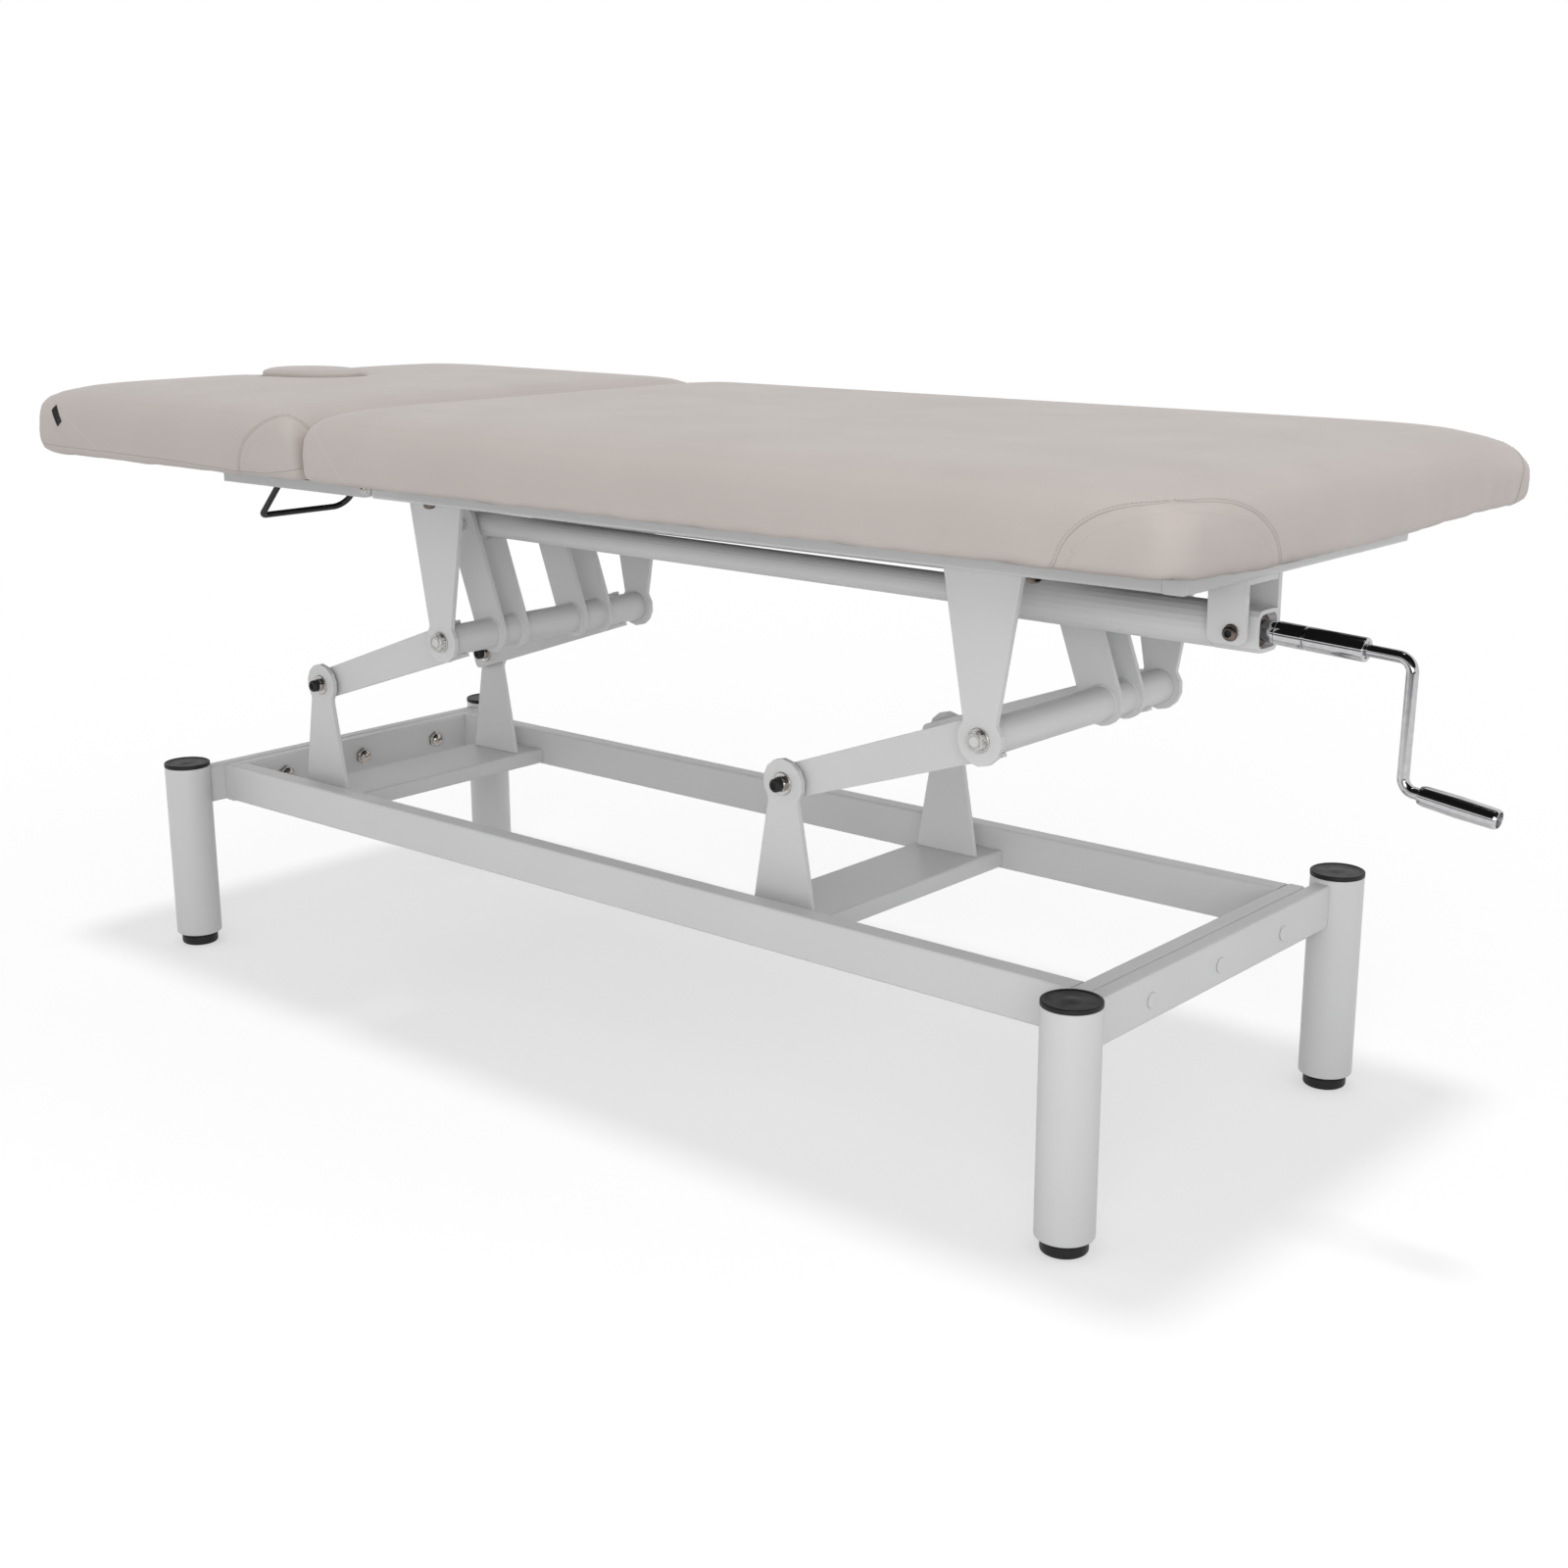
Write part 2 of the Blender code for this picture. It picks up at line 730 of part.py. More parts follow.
# Top frame: side rails, an end member at the crank end and two cross members
def top_frame():
    size = top_rail_size
    half = size / 2
    root = 0.022
    side_start = head_hinge_x + rail_past_hinge
    end_inner = top_end_x - size
    middle_z = top_rail_bottom + half
    ear_outer = top_half_width - hinge_ear_thickness - hinge_ear_gap
    ear_inner = ear_outer - hinge_ear_thickness
    for side, way in (("near", -1), ("far", 1)):
        y = way * (top_half_width - half)
        rail = box_tube(
            -half, half, -half, half, top_rail_wall, 0, end_inner - gap - side_start, along_x
        )
        at = (side_start, y, middle_z)
        made = put("side_rail_" + side, rail, paint, "top_frame", at)
        low = top_rail_bottom + top_rail_wall / 2 - hinge_z
        high = top_rail_top - top_rail_wall / 2 - hinge_z
        ear = circle((0, 0), hinge_ear_radius, 10, math.pi / 4, math.pi, False)
        ear += [(rail_past_hinge, low), (rail_past_hinge + root, low)]
        ear += [(rail_past_hinge + root, high), (rail_past_hinge, high)]
        span = sorted((way * ear_inner, way * ear_outer))
        plate = prism(ear, [], span[0], span[1], along_y)
        spot = head_hinge
        joined(made, put("hinge_ear_" + side, plate, paint, "top_frame", spot), "UNION")
        sections = (
            (way * (ear_inner + hinge_ear_thickness / 2), hinge_pin_radius, "round"),
            (way * (top_half_width + gap), hinge_pin_radius, "round"),
        )
        pin = turned(sections, small_sides, along_y)
        joined(made, put("hinge_pin_" + side, pin, zinc, "top_frame", spot), "UNION")
    member = box_tube(
        -half, half, -half, half, top_rail_wall, -top_half_width, top_half_width, along_y
    )
    put("crank_end_member", member, paint, "top_frame", (top_end_x - half, 0, middle_z))
    broad = cross_width / 2
    long = top_cross_half_length
    for name, pivot in (("front", front_upper), ("rear", rear_upper)):
        cross = box_tube(-broad, broad, -half, half, top_rail_wall, -long, long, along_y)
        put("top_cross_member_" + name, cross, paint, "top_frame", (pivot.x, 0, middle_z))


yoke_clearance = 0.0075
yoke_thickness = 0.006
yoke_pin_radius = 0.006
yoke_pin_depth = 0.008
yoke_pin_play = 0.002


# Yoke: two cheeks and a web under the end member, with a pivot screw through each cheek
def jack_yoke():
    back = 0.0261
    front = 0.0144
    below_pin = 0.0115
    corner = 0.008
    web_set_back = 0.0005
    head_radius = 0.007
    head_height = 0.004
    steps = 5
    inner = housing_half + yoke_clearance
    outer = inner + yoke_thickness
    top = top_rail_bottom - gap - jack_pin.z
    web_low = top - yoke_thickness
    web_high = top - web_set_back
    web_half = outer - yoke_thickness / 2
    low = corner - below_pin
    outline = circle((front - corner, low), corner, steps, -math.pi / 2, math.pi / 2, False)
    outline += [(front, top), (-back, top)]
    outline += circle((corner - back, low), corner, steps, math.pi, math.pi / 2, False)
    at = jack_pin + Vector((0, jack_y, 0))
    cheek = prism(outline, [], -outer, -inner, along_y)
    made = put("jack_yoke", cheek, paint, "top_frame", at)
    cheek = prism(outline, [], inner, outer, along_y)
    joined(made, put("yoke_cheek_far", cheek, paint, "top_frame", at), "UNION")
    plate = [(-web_half, web_low), (web_half, web_low), (web_half, web_high), (-web_half, web_high)]
    web = prism(plate, [], web_set_back - back, front - web_set_back, along_x)
    joined(made, put("yoke_web", web, paint, "top_frame", at), "UNION")
    for side, way in (("near", -1), ("far", 1)):
        sections = (
            (way * (housing_half - yoke_pin_depth), yoke_pin_radius, "round"),
            (way * (outer - yoke_thickness / 2), yoke_pin_radius, "round"),
            (way * (outer - yoke_thickness / 2), head_radius, "round"),
            (way * (outer + head_height), head_radius, "round"),
        )
        screw = turned(sections, small_sides, along_y)
        joined(made, put("yoke_screw_" + side, screw, zinc, "top_frame", at), "UNION")


jack_tube_reach = 0.2696
jack_bush_length = 0.020
rod_nut_length = 0.030
rod_end_reach = 0.110


# Jack body: the outer tube and the gear housing that the yoke carries
def jack_body():
    tube_wall = 0.003
    taper_length = 0.0075
    housing_back = 0.0266
    housing_front = 0.0205
    mouth_half = 0.0165
    sides = round_sides
    bush = hole_radius(jack_inner_radius, sides)
    bearing = hole_radius(spindle_radius, sides)
    bore = jack_outer_radius - tube_wall
    back = -housing_back
    sections = (
        (-jack_tube_reach, jack_outer_radius, "round"),
        (back - taper_length, jack_outer_radius, "round"),
        (back, housing_half, "round"),
        (back, housing_half, "square"),
        (housing_front, housing_half, "square"),
        (housing_front, mouth_half, "square"),
        (collar_start, mouth_half, "square"),
        (collar_start, bearing, "round"),
        (back, bearing, "round"),
        (back, bore, "round"),
        (jack_bush_length - jack_tube_reach, bore, "round"),
        (jack_bush_length - jack_tube_reach, bush, "round"),
        (-jack_tube_reach, bush, "round"),
    )
    at = jack_pin + Vector((0, jack_y, 0))
    shell = turned(sections, sides, along_x, closed=True, start=math.pi / sides)
    made = put("jack_body", shell, paint, "jack", at, jack_tilt)
    bore = hole_radius(yoke_pin_radius, small_sides)
    floor = housing_half - yoke_pin_depth - yoke_pin_play
    for side, way in (("near", -1), ("far", 1)):
        sections = (
            (way * floor, bore, "round"),
            (way * (housing_half + yoke_clearance), bore, "round"),
        )
        cut = turned(sections, small_sides, along_y)
        joined(made, put("trunnion_hole_" + side, cut, paint, "jack", at), "DIFFERENCE")


slot_play_ahead = 0.0048
slot_play_back = 0.0007
slot_play_down = 0.0094
slot_play_up = 0.0004


# Jack rod: the sliding tube with its nut, and the slotted eye for the levers' pin
def jack_rod():
    rod_wall = 0.003
    eye_thickness = 0.020
    eye_wall = 0.0075
    steps = 4
    start = -jack_span
    pin = lever_pin_radius
    eye_low = -slot_play_down - pin - gap
    eye_high = slot_play_up + pin + gap
    eye_back = -slot_play_back - pin - gap
    eye_ahead = slot_play_ahead + pin + gap
    slot = rounded_rectangle(eye_back, eye_ahead, eye_low, eye_high, pin, steps)
    outline = rounded_rectangle(
        eye_back - eye_wall,
        eye_ahead + eye_wall,
        eye_low - eye_wall,
        eye_high + eye_wall,
        pin + eye_wall,
        steps,
    )
    half = eye_thickness / 2
    at = jack_pin + Vector((0, jack_y, 0))
    tip = front_pin + Vector((0, jack_y, 0))
    eye = prism(outline, [slot], -half, half, along_y)
    neck = start + eye_ahead + eye_wall / 2
    nut = hole_radius(spindle_radius, round_sides)
    sections = (
        (neck + eye_wall, jack_inner_radius - rod_wall, "round"),
        (-rod_end_reach - rod_nut_length, jack_inner_radius - rod_wall, "round"),
        (-rod_end_reach - rod_nut_length, nut, "round"),
        (-rod_end_reach, nut, "round"),
        (-rod_end_reach, jack_inner_radius, "round"),
        (neck, jack_inner_radius, "round"),
    )
    rod = turned(sections, round_sides, along_x, start=math.pi / round_sides)
    made = put("jack_rod", rod, paint, "jack_rod", at, jack_tilt)
    joined(made, put("rod_eye", eye, paint, "jack_rod", tip, jack_tilt), "UNION")


# Crank: spindle, collars and the bent rod in one piece, turning on the jack axis
def crank():
    sides = small_sides
    bore = hole_radius(crank_rod_radius, small_sides)
    play = 0.001
    chamfer = 0.001
    at = jack_pin + Vector((0, jack_y, 0))
    steps = (
        (-spindle_reach, spindle_radius),
        (collar_start + gap, spindle_radius),
        (collar_start + gap, collar_radius),
        (collar_end, collar_radius),
        (collar_end, sleeve_radius),
        (sleeve_one_end - groove_width, sleeve_radius),
        (sleeve_one_end - groove_width, groove_radius),
        (sleeve_one_end, groove_radius),
        (sleeve_one_end, sleeve_radius),
        (sleeve_two_end - chamfer, sleeve_radius),
        (sleeve_two_end, sleeve_radius - chamfer),
        (sleeve_two_end, crank_rod_radius),
    )
    points = [Vector((place, 0, 0)) for place, _ in steps]
    radii = [radius for _, radius in steps]
    first = Vector((sleeve_two_end + crank_bend_radius / 2, 0, 0))
    second = Vector((sleeve_two_end + crank_rod_reach, 0, -crank_rod_drop))
    third = second + Vector((-crank_arm_splay, 0, -crank_arm_length))
    out = Vector((math.cos(grip_droop), 0, -math.sin(grip_droop)))
    last = third + out * (grip_start + grip_length - grip_recess)
    bend = crank_bend_radius
    path = rounded_path(((first, 0), (second, bend), (third, bend), (last, 0)), 5)
    points += path
    radii += [crank_rod_radius] * len(path)
    rod = swept(points, radii, sides)
    put("crank_arm", rod, chrome, "crank", at, jack_tilt)
    turn = out.copy()
    base = third + out * grip_start
    place = Vector((base.x * math.cos(jack_tilt) + base.z * math.sin(jack_tilt), 0, 0))
    place.z = base.z * math.cos(jack_tilt) - base.x * math.sin(jack_tilt)
    holder("grip", at + place, "crank")
    barrel = 0.0008
    sections = (
        (0, grip_radius - chamfer, "round"),
        (chamfer, grip_radius, "round"),
        (grip_length / 2, grip_radius + barrel, "round"),
        (grip_length - chamfer, grip_radius, "round"),
        (grip_length, grip_radius - chamfer, "round"),
        (grip_length, bore + play - gap, "round"),
        (0, bore, "round"),
    )
    grip = turned(sections, small_sides, along_x, closed=True)
    put("crank_grip", grip, chrome, "grip", at + place, grip_droop + jack_tilt)


# A cushion's plan outline: rounded rectangle with its own radius at each end
def plan_ring(x_low, x_high, half, radius_low, radius_high, height):
    corner_steps = 6
    points = []
    corners = (
        (x_high - radius_high, half - radius_high, radius_high, 0),
        (x_low + radius_low, half - radius_low, radius_low, 1),
        (x_low + radius_low, radius_low - half, radius_low, 2),
        (x_high - radius_high, radius_high - half, radius_high, 3),
    )
    side_steps = 6
    for k, (x, y, radius, quarter) in enumerate(corners):
        start = quarter * math.pi / 2
        arc = circle((x, y), radius, corner_steps, start, math.pi / 2, False)
        points += arc
        after = corners[(k + 1) % 4]
        turn = (quarter + 1) * math.pi / 2
        end = (after[0] + after[2] * math.cos(turn), after[1] + after[2] * math.sin(turn))
        for step in range(1, side_steps):
            share = step / side_steps
            u = arc[-1][0] + (end[0] - arc[-1][0]) * share
            v = arc[-1][1] + (end[1] - arc[-1][1]) * share
            points.append((u, v))
    return [(u, v, height) for u, v in points]


# Heights as shares of the cushion's height, with how far each ring lies inside the plan
side_shares = (
    (0.0, 0.012),
    (0.045, 0.0035),
    (0.16, 0.0008),
    (0.36, 0.0),
    (0.58, 0.0012),
    (0.74, 0.0045),
    (0.85, 0.0125),
    (0.915, 0.027),
    (0.955, 0.052),
    (0.982, 0.095),
    (1.0, 0.16),
)
facing_lean = math.radians(4.0)
facing_round_share = 0.44
facing_round_length = 0.080
end_corner = 0.055
facing_corner = 0.018
head_cushion_gap = 0.004
main_cushion_gap = 0.003


# How far the end that faces the other cushion leans back at a height
def facing_inset(share):
    height = share * cushion_height
    lean = height * math.tan(facing_lean)
    over = max(0.0, (share - facing_round_share) / (1 - facing_round_share))
    return lean + facing_round_length * (1 - math.sqrt(max(0.0, 1 - over**2)))


def cushion_rings(x_low, x_high, facing_low):
    rings = []
    for share, inset in side_shares:
        facing = max(facing_inset(share), inset)
        if share < facing_round_share:
            facing = facing_inset(share)
        corner = max(end_corner - inset / 2, facing_corner)
        tight = facing_corner + facing / 4
        low = x_low + (facing if facing_low else inset)
        high = x_high - (inset if facing_low else facing)
        radius_low = tight if facing_low else corner
        radius_high = corner if facing_low else tight
        height = share * cushion_height
        half = cushion_half_width - inset
        rings.append(plan_ring(low, high, half, radius_low, radius_high, height))
    return rings


def main_cushion():
    board_setback = 0.002
    start = split_x + main_cushion_gap
    rings = cushion_rings(0, cushion_end_x - start, True)
    at = (start, 0, cushion_bottom)
    put("main_cushion", skin(rings, closed=False), cover, "top_frame", at)
    low = board_setback
    high = cushion_end_x - start - board_crank_inset
    half = cushion_half_width - board_side_inset
    corner = end_corner - board_inset
    outline = rounded_rectangle(low, high, -half, half, corner, 4)
    board = prism(outline, [], 0, board_thickness, along_z)
    put("main_board", board, board_black, "top_frame", (start, 0, board_bottom))


face_hole_x = 0.436
face_hole_long = 0.085
face_hole_wide = 0.060
plug_gap = 0.0006
plug_proud = 0.0055


# Head cushion with its oval face hole, and the plug that fills it
def head_section():
    end = split_x - head_cushion_gap
    length = end - head_end_x
    rings = cushion_rings(0, length, False)
    count = len(rings[0])
    centre = (length + head_cushion_gap - face_hole_x, 0)
    top = cushion_height
    lip = 0.004
    lip_drop = 0.003

    middle = min(range(count), key=lambda k: (round(abs(rings[0][k][1]), 6), rings[0][k][0]))

    def oval(grow, spread, height):
        ring = []
        for k in range(count):
            angle = math.pi + 2 * math.pi * (k - middle) / count
            u = (face_hole_long + grow) * spread * math.cos(angle)
            v = (face_hole_wide + grow) * spread * math.sin(angle)
            ring.append((centre[0] + u, v, height))
        return ring

    rings = rings[:-2]
    rings += [oval(lip * 6, 1, top - lip_drop / 3), oval(lip, 1, top)]
    rings += [oval(0, 1, top - lip_drop), oval(0, 1, 0)]
    at = (head_end_x, 0, cushion_bottom)
    put("head_cushion", skin(rings, closed=True), cover, "head", at)
    crown = top + plug_proud
    plug_shares = (
        (0.0, 0.97),
        (0.04, 1.0),
        (0.90, 1.0),
        (0.96, 0.97),
        (0.985, 0.88),
        (1.0, 0.62),
    )
    layers = [oval(-plug_gap, spread, share * crown) for share, spread in plug_shares]
    put("face_plug", skin(layers, closed=False), cover, "head", at)
    half = cushion_half_width - board_side_inset
    low = board_inset
    high = head_hinge_x - head_end_x
    corner = end_corner - board_inset
    outline = rounded_rectangle(low, high, -half, half, corner, 4)
    board = prism(outline, [], 0, board_thickness, along_z)
    put("head_board", board, board_black, "head", (head_end_x, 0, board_bottom))


wire_radius = 0.0035
bail_pivot_x = 0.187
bail_pivot_below = 0.0125
bail_drop = 0.0555
bail_set_back = 0.053
bail_near_y = -0.205
bail_far_y = -0.070


# Head arms under the head board, with the hinge eye and the release bail's holes
def head_arms():
    reach_back = 0.291
    arm_height = 0.025
    top = board_bottom - gap - hinge_z
    low = top - arm_height
    half = arm_height / 2
    outline = circle((0, top - half), half, 10, -math.pi / 2, math.pi, False)
    outline += [(-reach_back, top), (-reach_back, low)]
    eye = circle((0, 0), hole_radius(hinge_pin_radius, small_sides), small_sides)
    bail_at = (-bail_pivot_x, top - bail_pivot_below)
    bail = circle(bail_at, hole_radius(wire_radius, small_sides), small_sides)
    outer = top_half_width
    inner = outer - hinge_ear_thickness
    for side, way in (("near", -1), ("far", 1)):
        span = sorted((way * inner, way * outer))
        arm = prism(outline, [eye, bail], span[0], span[1], along_y)
        put("head_arm_" + side, arm, paint, "head", head_hinge)
    pivot = Vector((head_hinge_x - bail_pivot_x, 0, hinge_z + top - bail_pivot_below))
    holder("bail", pivot, "head")
    sharp = 0.006
    wide = 0.022
    end = outer - gap
    back = Vector((-bail_set_back, 0, -bail_drop))
    across = Vector((0, 1, 0))
    corners = (
        (across * -end, 0),
        (across * bail_near_y, sharp),
        (across * bail_near_y + back, sharp),
        (across * bail_far_y + back, wide),
        (across * bail_far_y, sharp),
        (across * end, 0),
    )
    path = rounded_path(corners, 4)
    wire = swept(path, [wire_radius] * len(path), 8)
    put("release_bail", wire, wire_black, "bail", pivot)


legs()
end_rails()
base_frame()
lower_lugs()
rockers()
tie_bar()
top_frame()
upper_lugs()
jack_yoke()
jack_body()
jack_rod()
crank()
main_cushion()
head_section()
head_arms()
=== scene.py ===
# Looks of the treatment table: covers, paint, plastics, plated steel, floor, light and camera.
# Metres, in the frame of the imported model: +X to the crank, +Y to the far side, +Z up.
import json
import math

import bmesh
import bpy
import numpy as np
from mathutils import Matrix, Vector


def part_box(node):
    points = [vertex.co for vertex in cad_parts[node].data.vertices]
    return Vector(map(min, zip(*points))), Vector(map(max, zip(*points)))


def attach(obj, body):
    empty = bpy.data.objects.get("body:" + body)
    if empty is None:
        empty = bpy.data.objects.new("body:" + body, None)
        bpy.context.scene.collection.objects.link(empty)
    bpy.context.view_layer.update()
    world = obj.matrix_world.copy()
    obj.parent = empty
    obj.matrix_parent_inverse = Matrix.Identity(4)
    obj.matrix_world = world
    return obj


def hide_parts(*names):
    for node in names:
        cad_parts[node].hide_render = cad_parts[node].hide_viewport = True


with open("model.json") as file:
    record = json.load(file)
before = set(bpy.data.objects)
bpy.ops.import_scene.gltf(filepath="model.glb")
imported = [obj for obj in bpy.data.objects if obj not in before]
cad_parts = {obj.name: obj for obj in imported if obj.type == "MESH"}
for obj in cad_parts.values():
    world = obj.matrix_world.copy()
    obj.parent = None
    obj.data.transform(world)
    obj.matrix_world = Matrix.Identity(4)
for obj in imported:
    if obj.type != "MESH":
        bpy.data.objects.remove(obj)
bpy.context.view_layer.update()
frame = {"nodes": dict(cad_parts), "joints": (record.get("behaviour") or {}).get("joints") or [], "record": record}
nodes = frame["nodes"]
joints = {joint["name"]: joint for joint in frame["joints"]}
scene = bpy.context.scene


def say(stage):
    print("table:", stage)


def corners(node):
    low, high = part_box(node)
    return np.array(low), np.array(high)


def middle(node):
    low, high = corners(node)
    return (low + high) / 2


def jointAt(name):
    return np.array(joints[name]["pos_m"], float)


def linked(name, data):
    made = bpy.data.objects.new(name, data)
    scene.collection.objects.link(made)
    return made


# Camera, solved from the legs and pivots of the photograph
viewPoint = {
    "place": (1.6530, -1.8527, 0.9511),
    "yaw": 0.7114,
    "pitch": 0.2557,
    "roll": -0.0038,
    "focalPixels": 2154.1,
    "photoPixels": 1600,
    "sensorWidth": 36.0,
}


def makeCamera():
    yaw, pitch, roll = viewPoint["yaw"], viewPoint["pitch"], viewPoint["roll"]
    ahead = np.array([
        -math.sin(yaw) * math.cos(pitch),
        math.cos(yaw) * math.cos(pitch),
        -math.sin(pitch),
    ])
    level = np.cross(ahead, (0, 0, 1))
    level /= np.linalg.norm(level)
    up = np.cross(level, ahead)
    right = math.cos(roll) * level + math.sin(roll) * up
    top = math.cos(roll) * up - math.sin(roll) * level
    data = bpy.data.cameras.new("photoCamera")
    data.sensor_fit = "HORIZONTAL"
    data.sensor_width = viewPoint["sensorWidth"]
    data.lens = viewPoint["focalPixels"] * data.sensor_width / viewPoint["photoPixels"]
    camera = linked("photoCamera", data)
    turn = Matrix((right, top, -ahead)).transposed()
    camera.matrix_world = Matrix.Translation(viewPoint["place"]) @ turn.to_4x4()
    scene.camera = camera


makeCamera()
say("camera")


# A shader node in a material or group; what it is given is a socket to link or a plain value
def nodeIn(tree, kind, links=None, **settings):
    made = tree.nodes.new("ShaderNode" + kind)
    for name, value in settings.items():
        setattr(made, name, value)
    for socket, source in (links or {}).items():
        if isinstance(source, bpy.types.NodeSocket):
            tree.links.new(source, made.inputs[socket])
        else:
            made.inputs[socket].default_value = source
    return made


def math2(tree, operation, first, second, clamp=False):
    made = nodeIn(tree, "Math", {0: first, 1: second}, operation=operation)
    made.use_clamp = clamp
    return made.outputs[0]


def ranged(tree, value, low, high, toLow, toHigh):
    links = {"Value": value, "From Min": low, "From Max": high, "To Min": toLow, "To Max": toHigh}
    return nodeIn(tree, "MapRange", links).outputs["Result"]


# Sockets of a mix node that mixes colours
mixSockets = {"one": 6, "two": 7, "result": 2}


# Two tones mixed by a share; a tone is a socket or red, green and blue
def mixedTone(tree, share, one, two):
    links = {"Factor": share}
    for label, tone in (("one", one), ("two", two)):
        links[mixSockets[label]] = tone if isinstance(tone, bpy.types.NodeSocket) else (*tone, 1)
    made = nodeIn(tree, "Mix", links, data_type="RGBA")
    return made.outputs[mixSockets["result"]]


def objectPlace(tree):
    return nodeIn(tree, "TexCoord").outputs["Object"]


# A group of nodes: its inputs with their values at the start, none for a colour, and its outputs
def newGroup(name, inputs, outputs):
    group = bpy.data.node_groups.new(name, "ShaderNodeTree")
    for label, start in inputs.items():
        kind = "NodeSocketColor" if start is None else "NodeSocketFloat"
        socket = group.interface.new_socket(label, in_out="INPUT", socket_type=kind)
        if start is not None:
            socket.default_value = start
    for label, kind in outputs.items():
        group.interface.new_socket(label, in_out="OUTPUT", socket_type="NodeSocket" + kind)
    return group, group.nodes.new("NodeGroupInput"), group.nodes.new("NodeGroupOutput")


groupLooks = {
    "driftDetail": 3.0,
    "driftLimits": (0.3, 0.7),
    "reliefDetail": 2.0,
    "edgeSamples": 6,
    "edgeLimits": (0.999, 0.85),
    "seamPower": 1.5,
}


# Two tones that drift into each other over the surface
def toneDriftGroup():
    inputs = {"Tone One": None, "Tone Two": None, "Scale": 10.0}
    group, given, result = newGroup("toneDrift", inputs, {"Color": "Color", "Drift": "Float"})
    scale = given.outputs["Scale"]
    links = {"Vector": objectPlace(group), "Scale": scale, "Detail": groupLooks["driftDetail"]}
    cloud = nodeIn(group, "TexNoise", links).outputs[0]
    drift = ranged(group, cloud, *groupLooks["driftLimits"], 0.0, 1.0)
    mixed = mixedTone(group, drift, given.outputs["Tone One"], given.outputs["Tone Two"])
    group.links.new(mixed, result.inputs["Color"])
    group.links.new(drift, result.inputs["Drift"])
    return group


# Fine relief: noise for a sprayed coat, cells for the grain of a cover
def fineReliefGroup():
    inputs = {"Noise Scale": 400.0, "Cell Scale": 900.0, "Cell Share": 0.5}
    group, given, result = newGroup("fineRelief", inputs, {"Height": "Float"})
    place = objectPlace(group)
    scale = given.outputs["Noise Scale"]
    links = {"Vector": place, "Scale": scale, "Detail": groupLooks["reliefDetail"]}
    cloud = nodeIn(group, "TexNoise", links).outputs[0]
    links = {"Vector": place, "Scale": given.outputs["Cell Scale"]}
    cells = nodeIn(group, "TexVoronoi", links).outputs["Distance"]
    cellPart = math2(group, "MULTIPLY", cells, given.outputs["Cell Share"])
    group.links.new(math2(group, "ADD", cloud, cellPart), result.inputs["Height"])
    return group


# Rounded edges: a mask that is 1 on sharp outer edges, where the coats get a painted highlight, and a normal that
# rounds them
def edgeRoundAndHighlightGroup():
    group, given, result = newGroup("edgeRoundAndHighlight", {"Radius": 0.001}, {"Mask": "Float", "Normal": "Vector"})
    links, samples = {"Radius": given.outputs["Radius"]}, groupLooks["edgeSamples"]
    rounded = nodeIn(group, "Bevel", links, samples=samples)
    plain = nodeIn(group, "NewGeometry").outputs["Normal"]
    links = {0: rounded.outputs[0], 1: plain}
    agree = nodeIn(group, "VectorMath", links, operation="DOT_PRODUCT").outputs["Value"]
    mask = ranged(group, agree, *groupLooks["edgeLimits"], 0.0, 1.0)
    group.links.new(mask, result.inputs["Mask"])
    group.links.new(rounded.outputs[0], result.inputs["Normal"])
    return group


# A sewn line: dark in the middle of a shallow valley, from the signed distance to the seam
def seamLineGroup():
    inputs = {"Distance": 1.0, "Line Width": 0.001, "Valley Width": 0.004}
    group, given, result = newGroup("seamLine", inputs, {"Line": "Float", "Valley": "Float"})
    away = math2(group, "ABSOLUTE", given.outputs["Distance"], 0.0)
    for label in ("Line", "Valley"):
        share = math2(group, "DIVIDE", away, given.outputs[label + " Width"])
        near = math2(group, "SUBTRACT", 1.0, share, clamp=True)
        group.links.new(math2(group, "POWER", near, groupLooks["seamPower"]), result.inputs[label])
    return group


toneDrift = toneDriftGroup()
fineRelief = fineReliefGroup()
edgeRoundAndHighlight = edgeRoundAndHighlightGroup()
seamLine = seamLineGroup()


# Names of sockets are given with an underscore for every space
def spaced(values):
    return {label.replace("_", " "): value for label, value in values.items()}


def placed(tree, group, **values):
    return nodeIn(tree, "Group", spaced(values), node_tree=group)


def newMaterial(name, roughness, metallic=0.0, **fixed):
    made = bpy.data.materials.new(name)
    made.use_nodes = True
    shader = made.node_tree.nodes["Principled BSDF"]
    for label, value in {"Roughness": roughness, "Metallic": metallic, **spaced(fixed)}.items():
        shader.inputs[label].default_value = value
    return made, made.node_tree, shader


# The drifting tone of a finish; the same drift sets the roughness
def drifting(tree, shader, finish):
    tone = placed(
        tree, toneDrift, Scale=finish["driftScale"],
        Tone_One=(*finish["toneOne"], 1), Tone_Two=(*finish["toneTwo"], 1),
    )
    rough = ranged(tree, tone.outputs["Drift"], 0, 1, *finish["roughness"])
    tree.links.new(rough, shader.inputs["Roughness"])
    return tone.outputs["Color"]


def bumped(tree, shader, height, strength, distance, normal=None):
    links = {"Height": height, "Strength": strength, "Distance": distance}
    if normal is not None:
        links["Normal"] = normal
    bump = nodeIn(tree, "Bump", links)
    tree.links.new(bump.outputs[0], shader.inputs["Normal"])


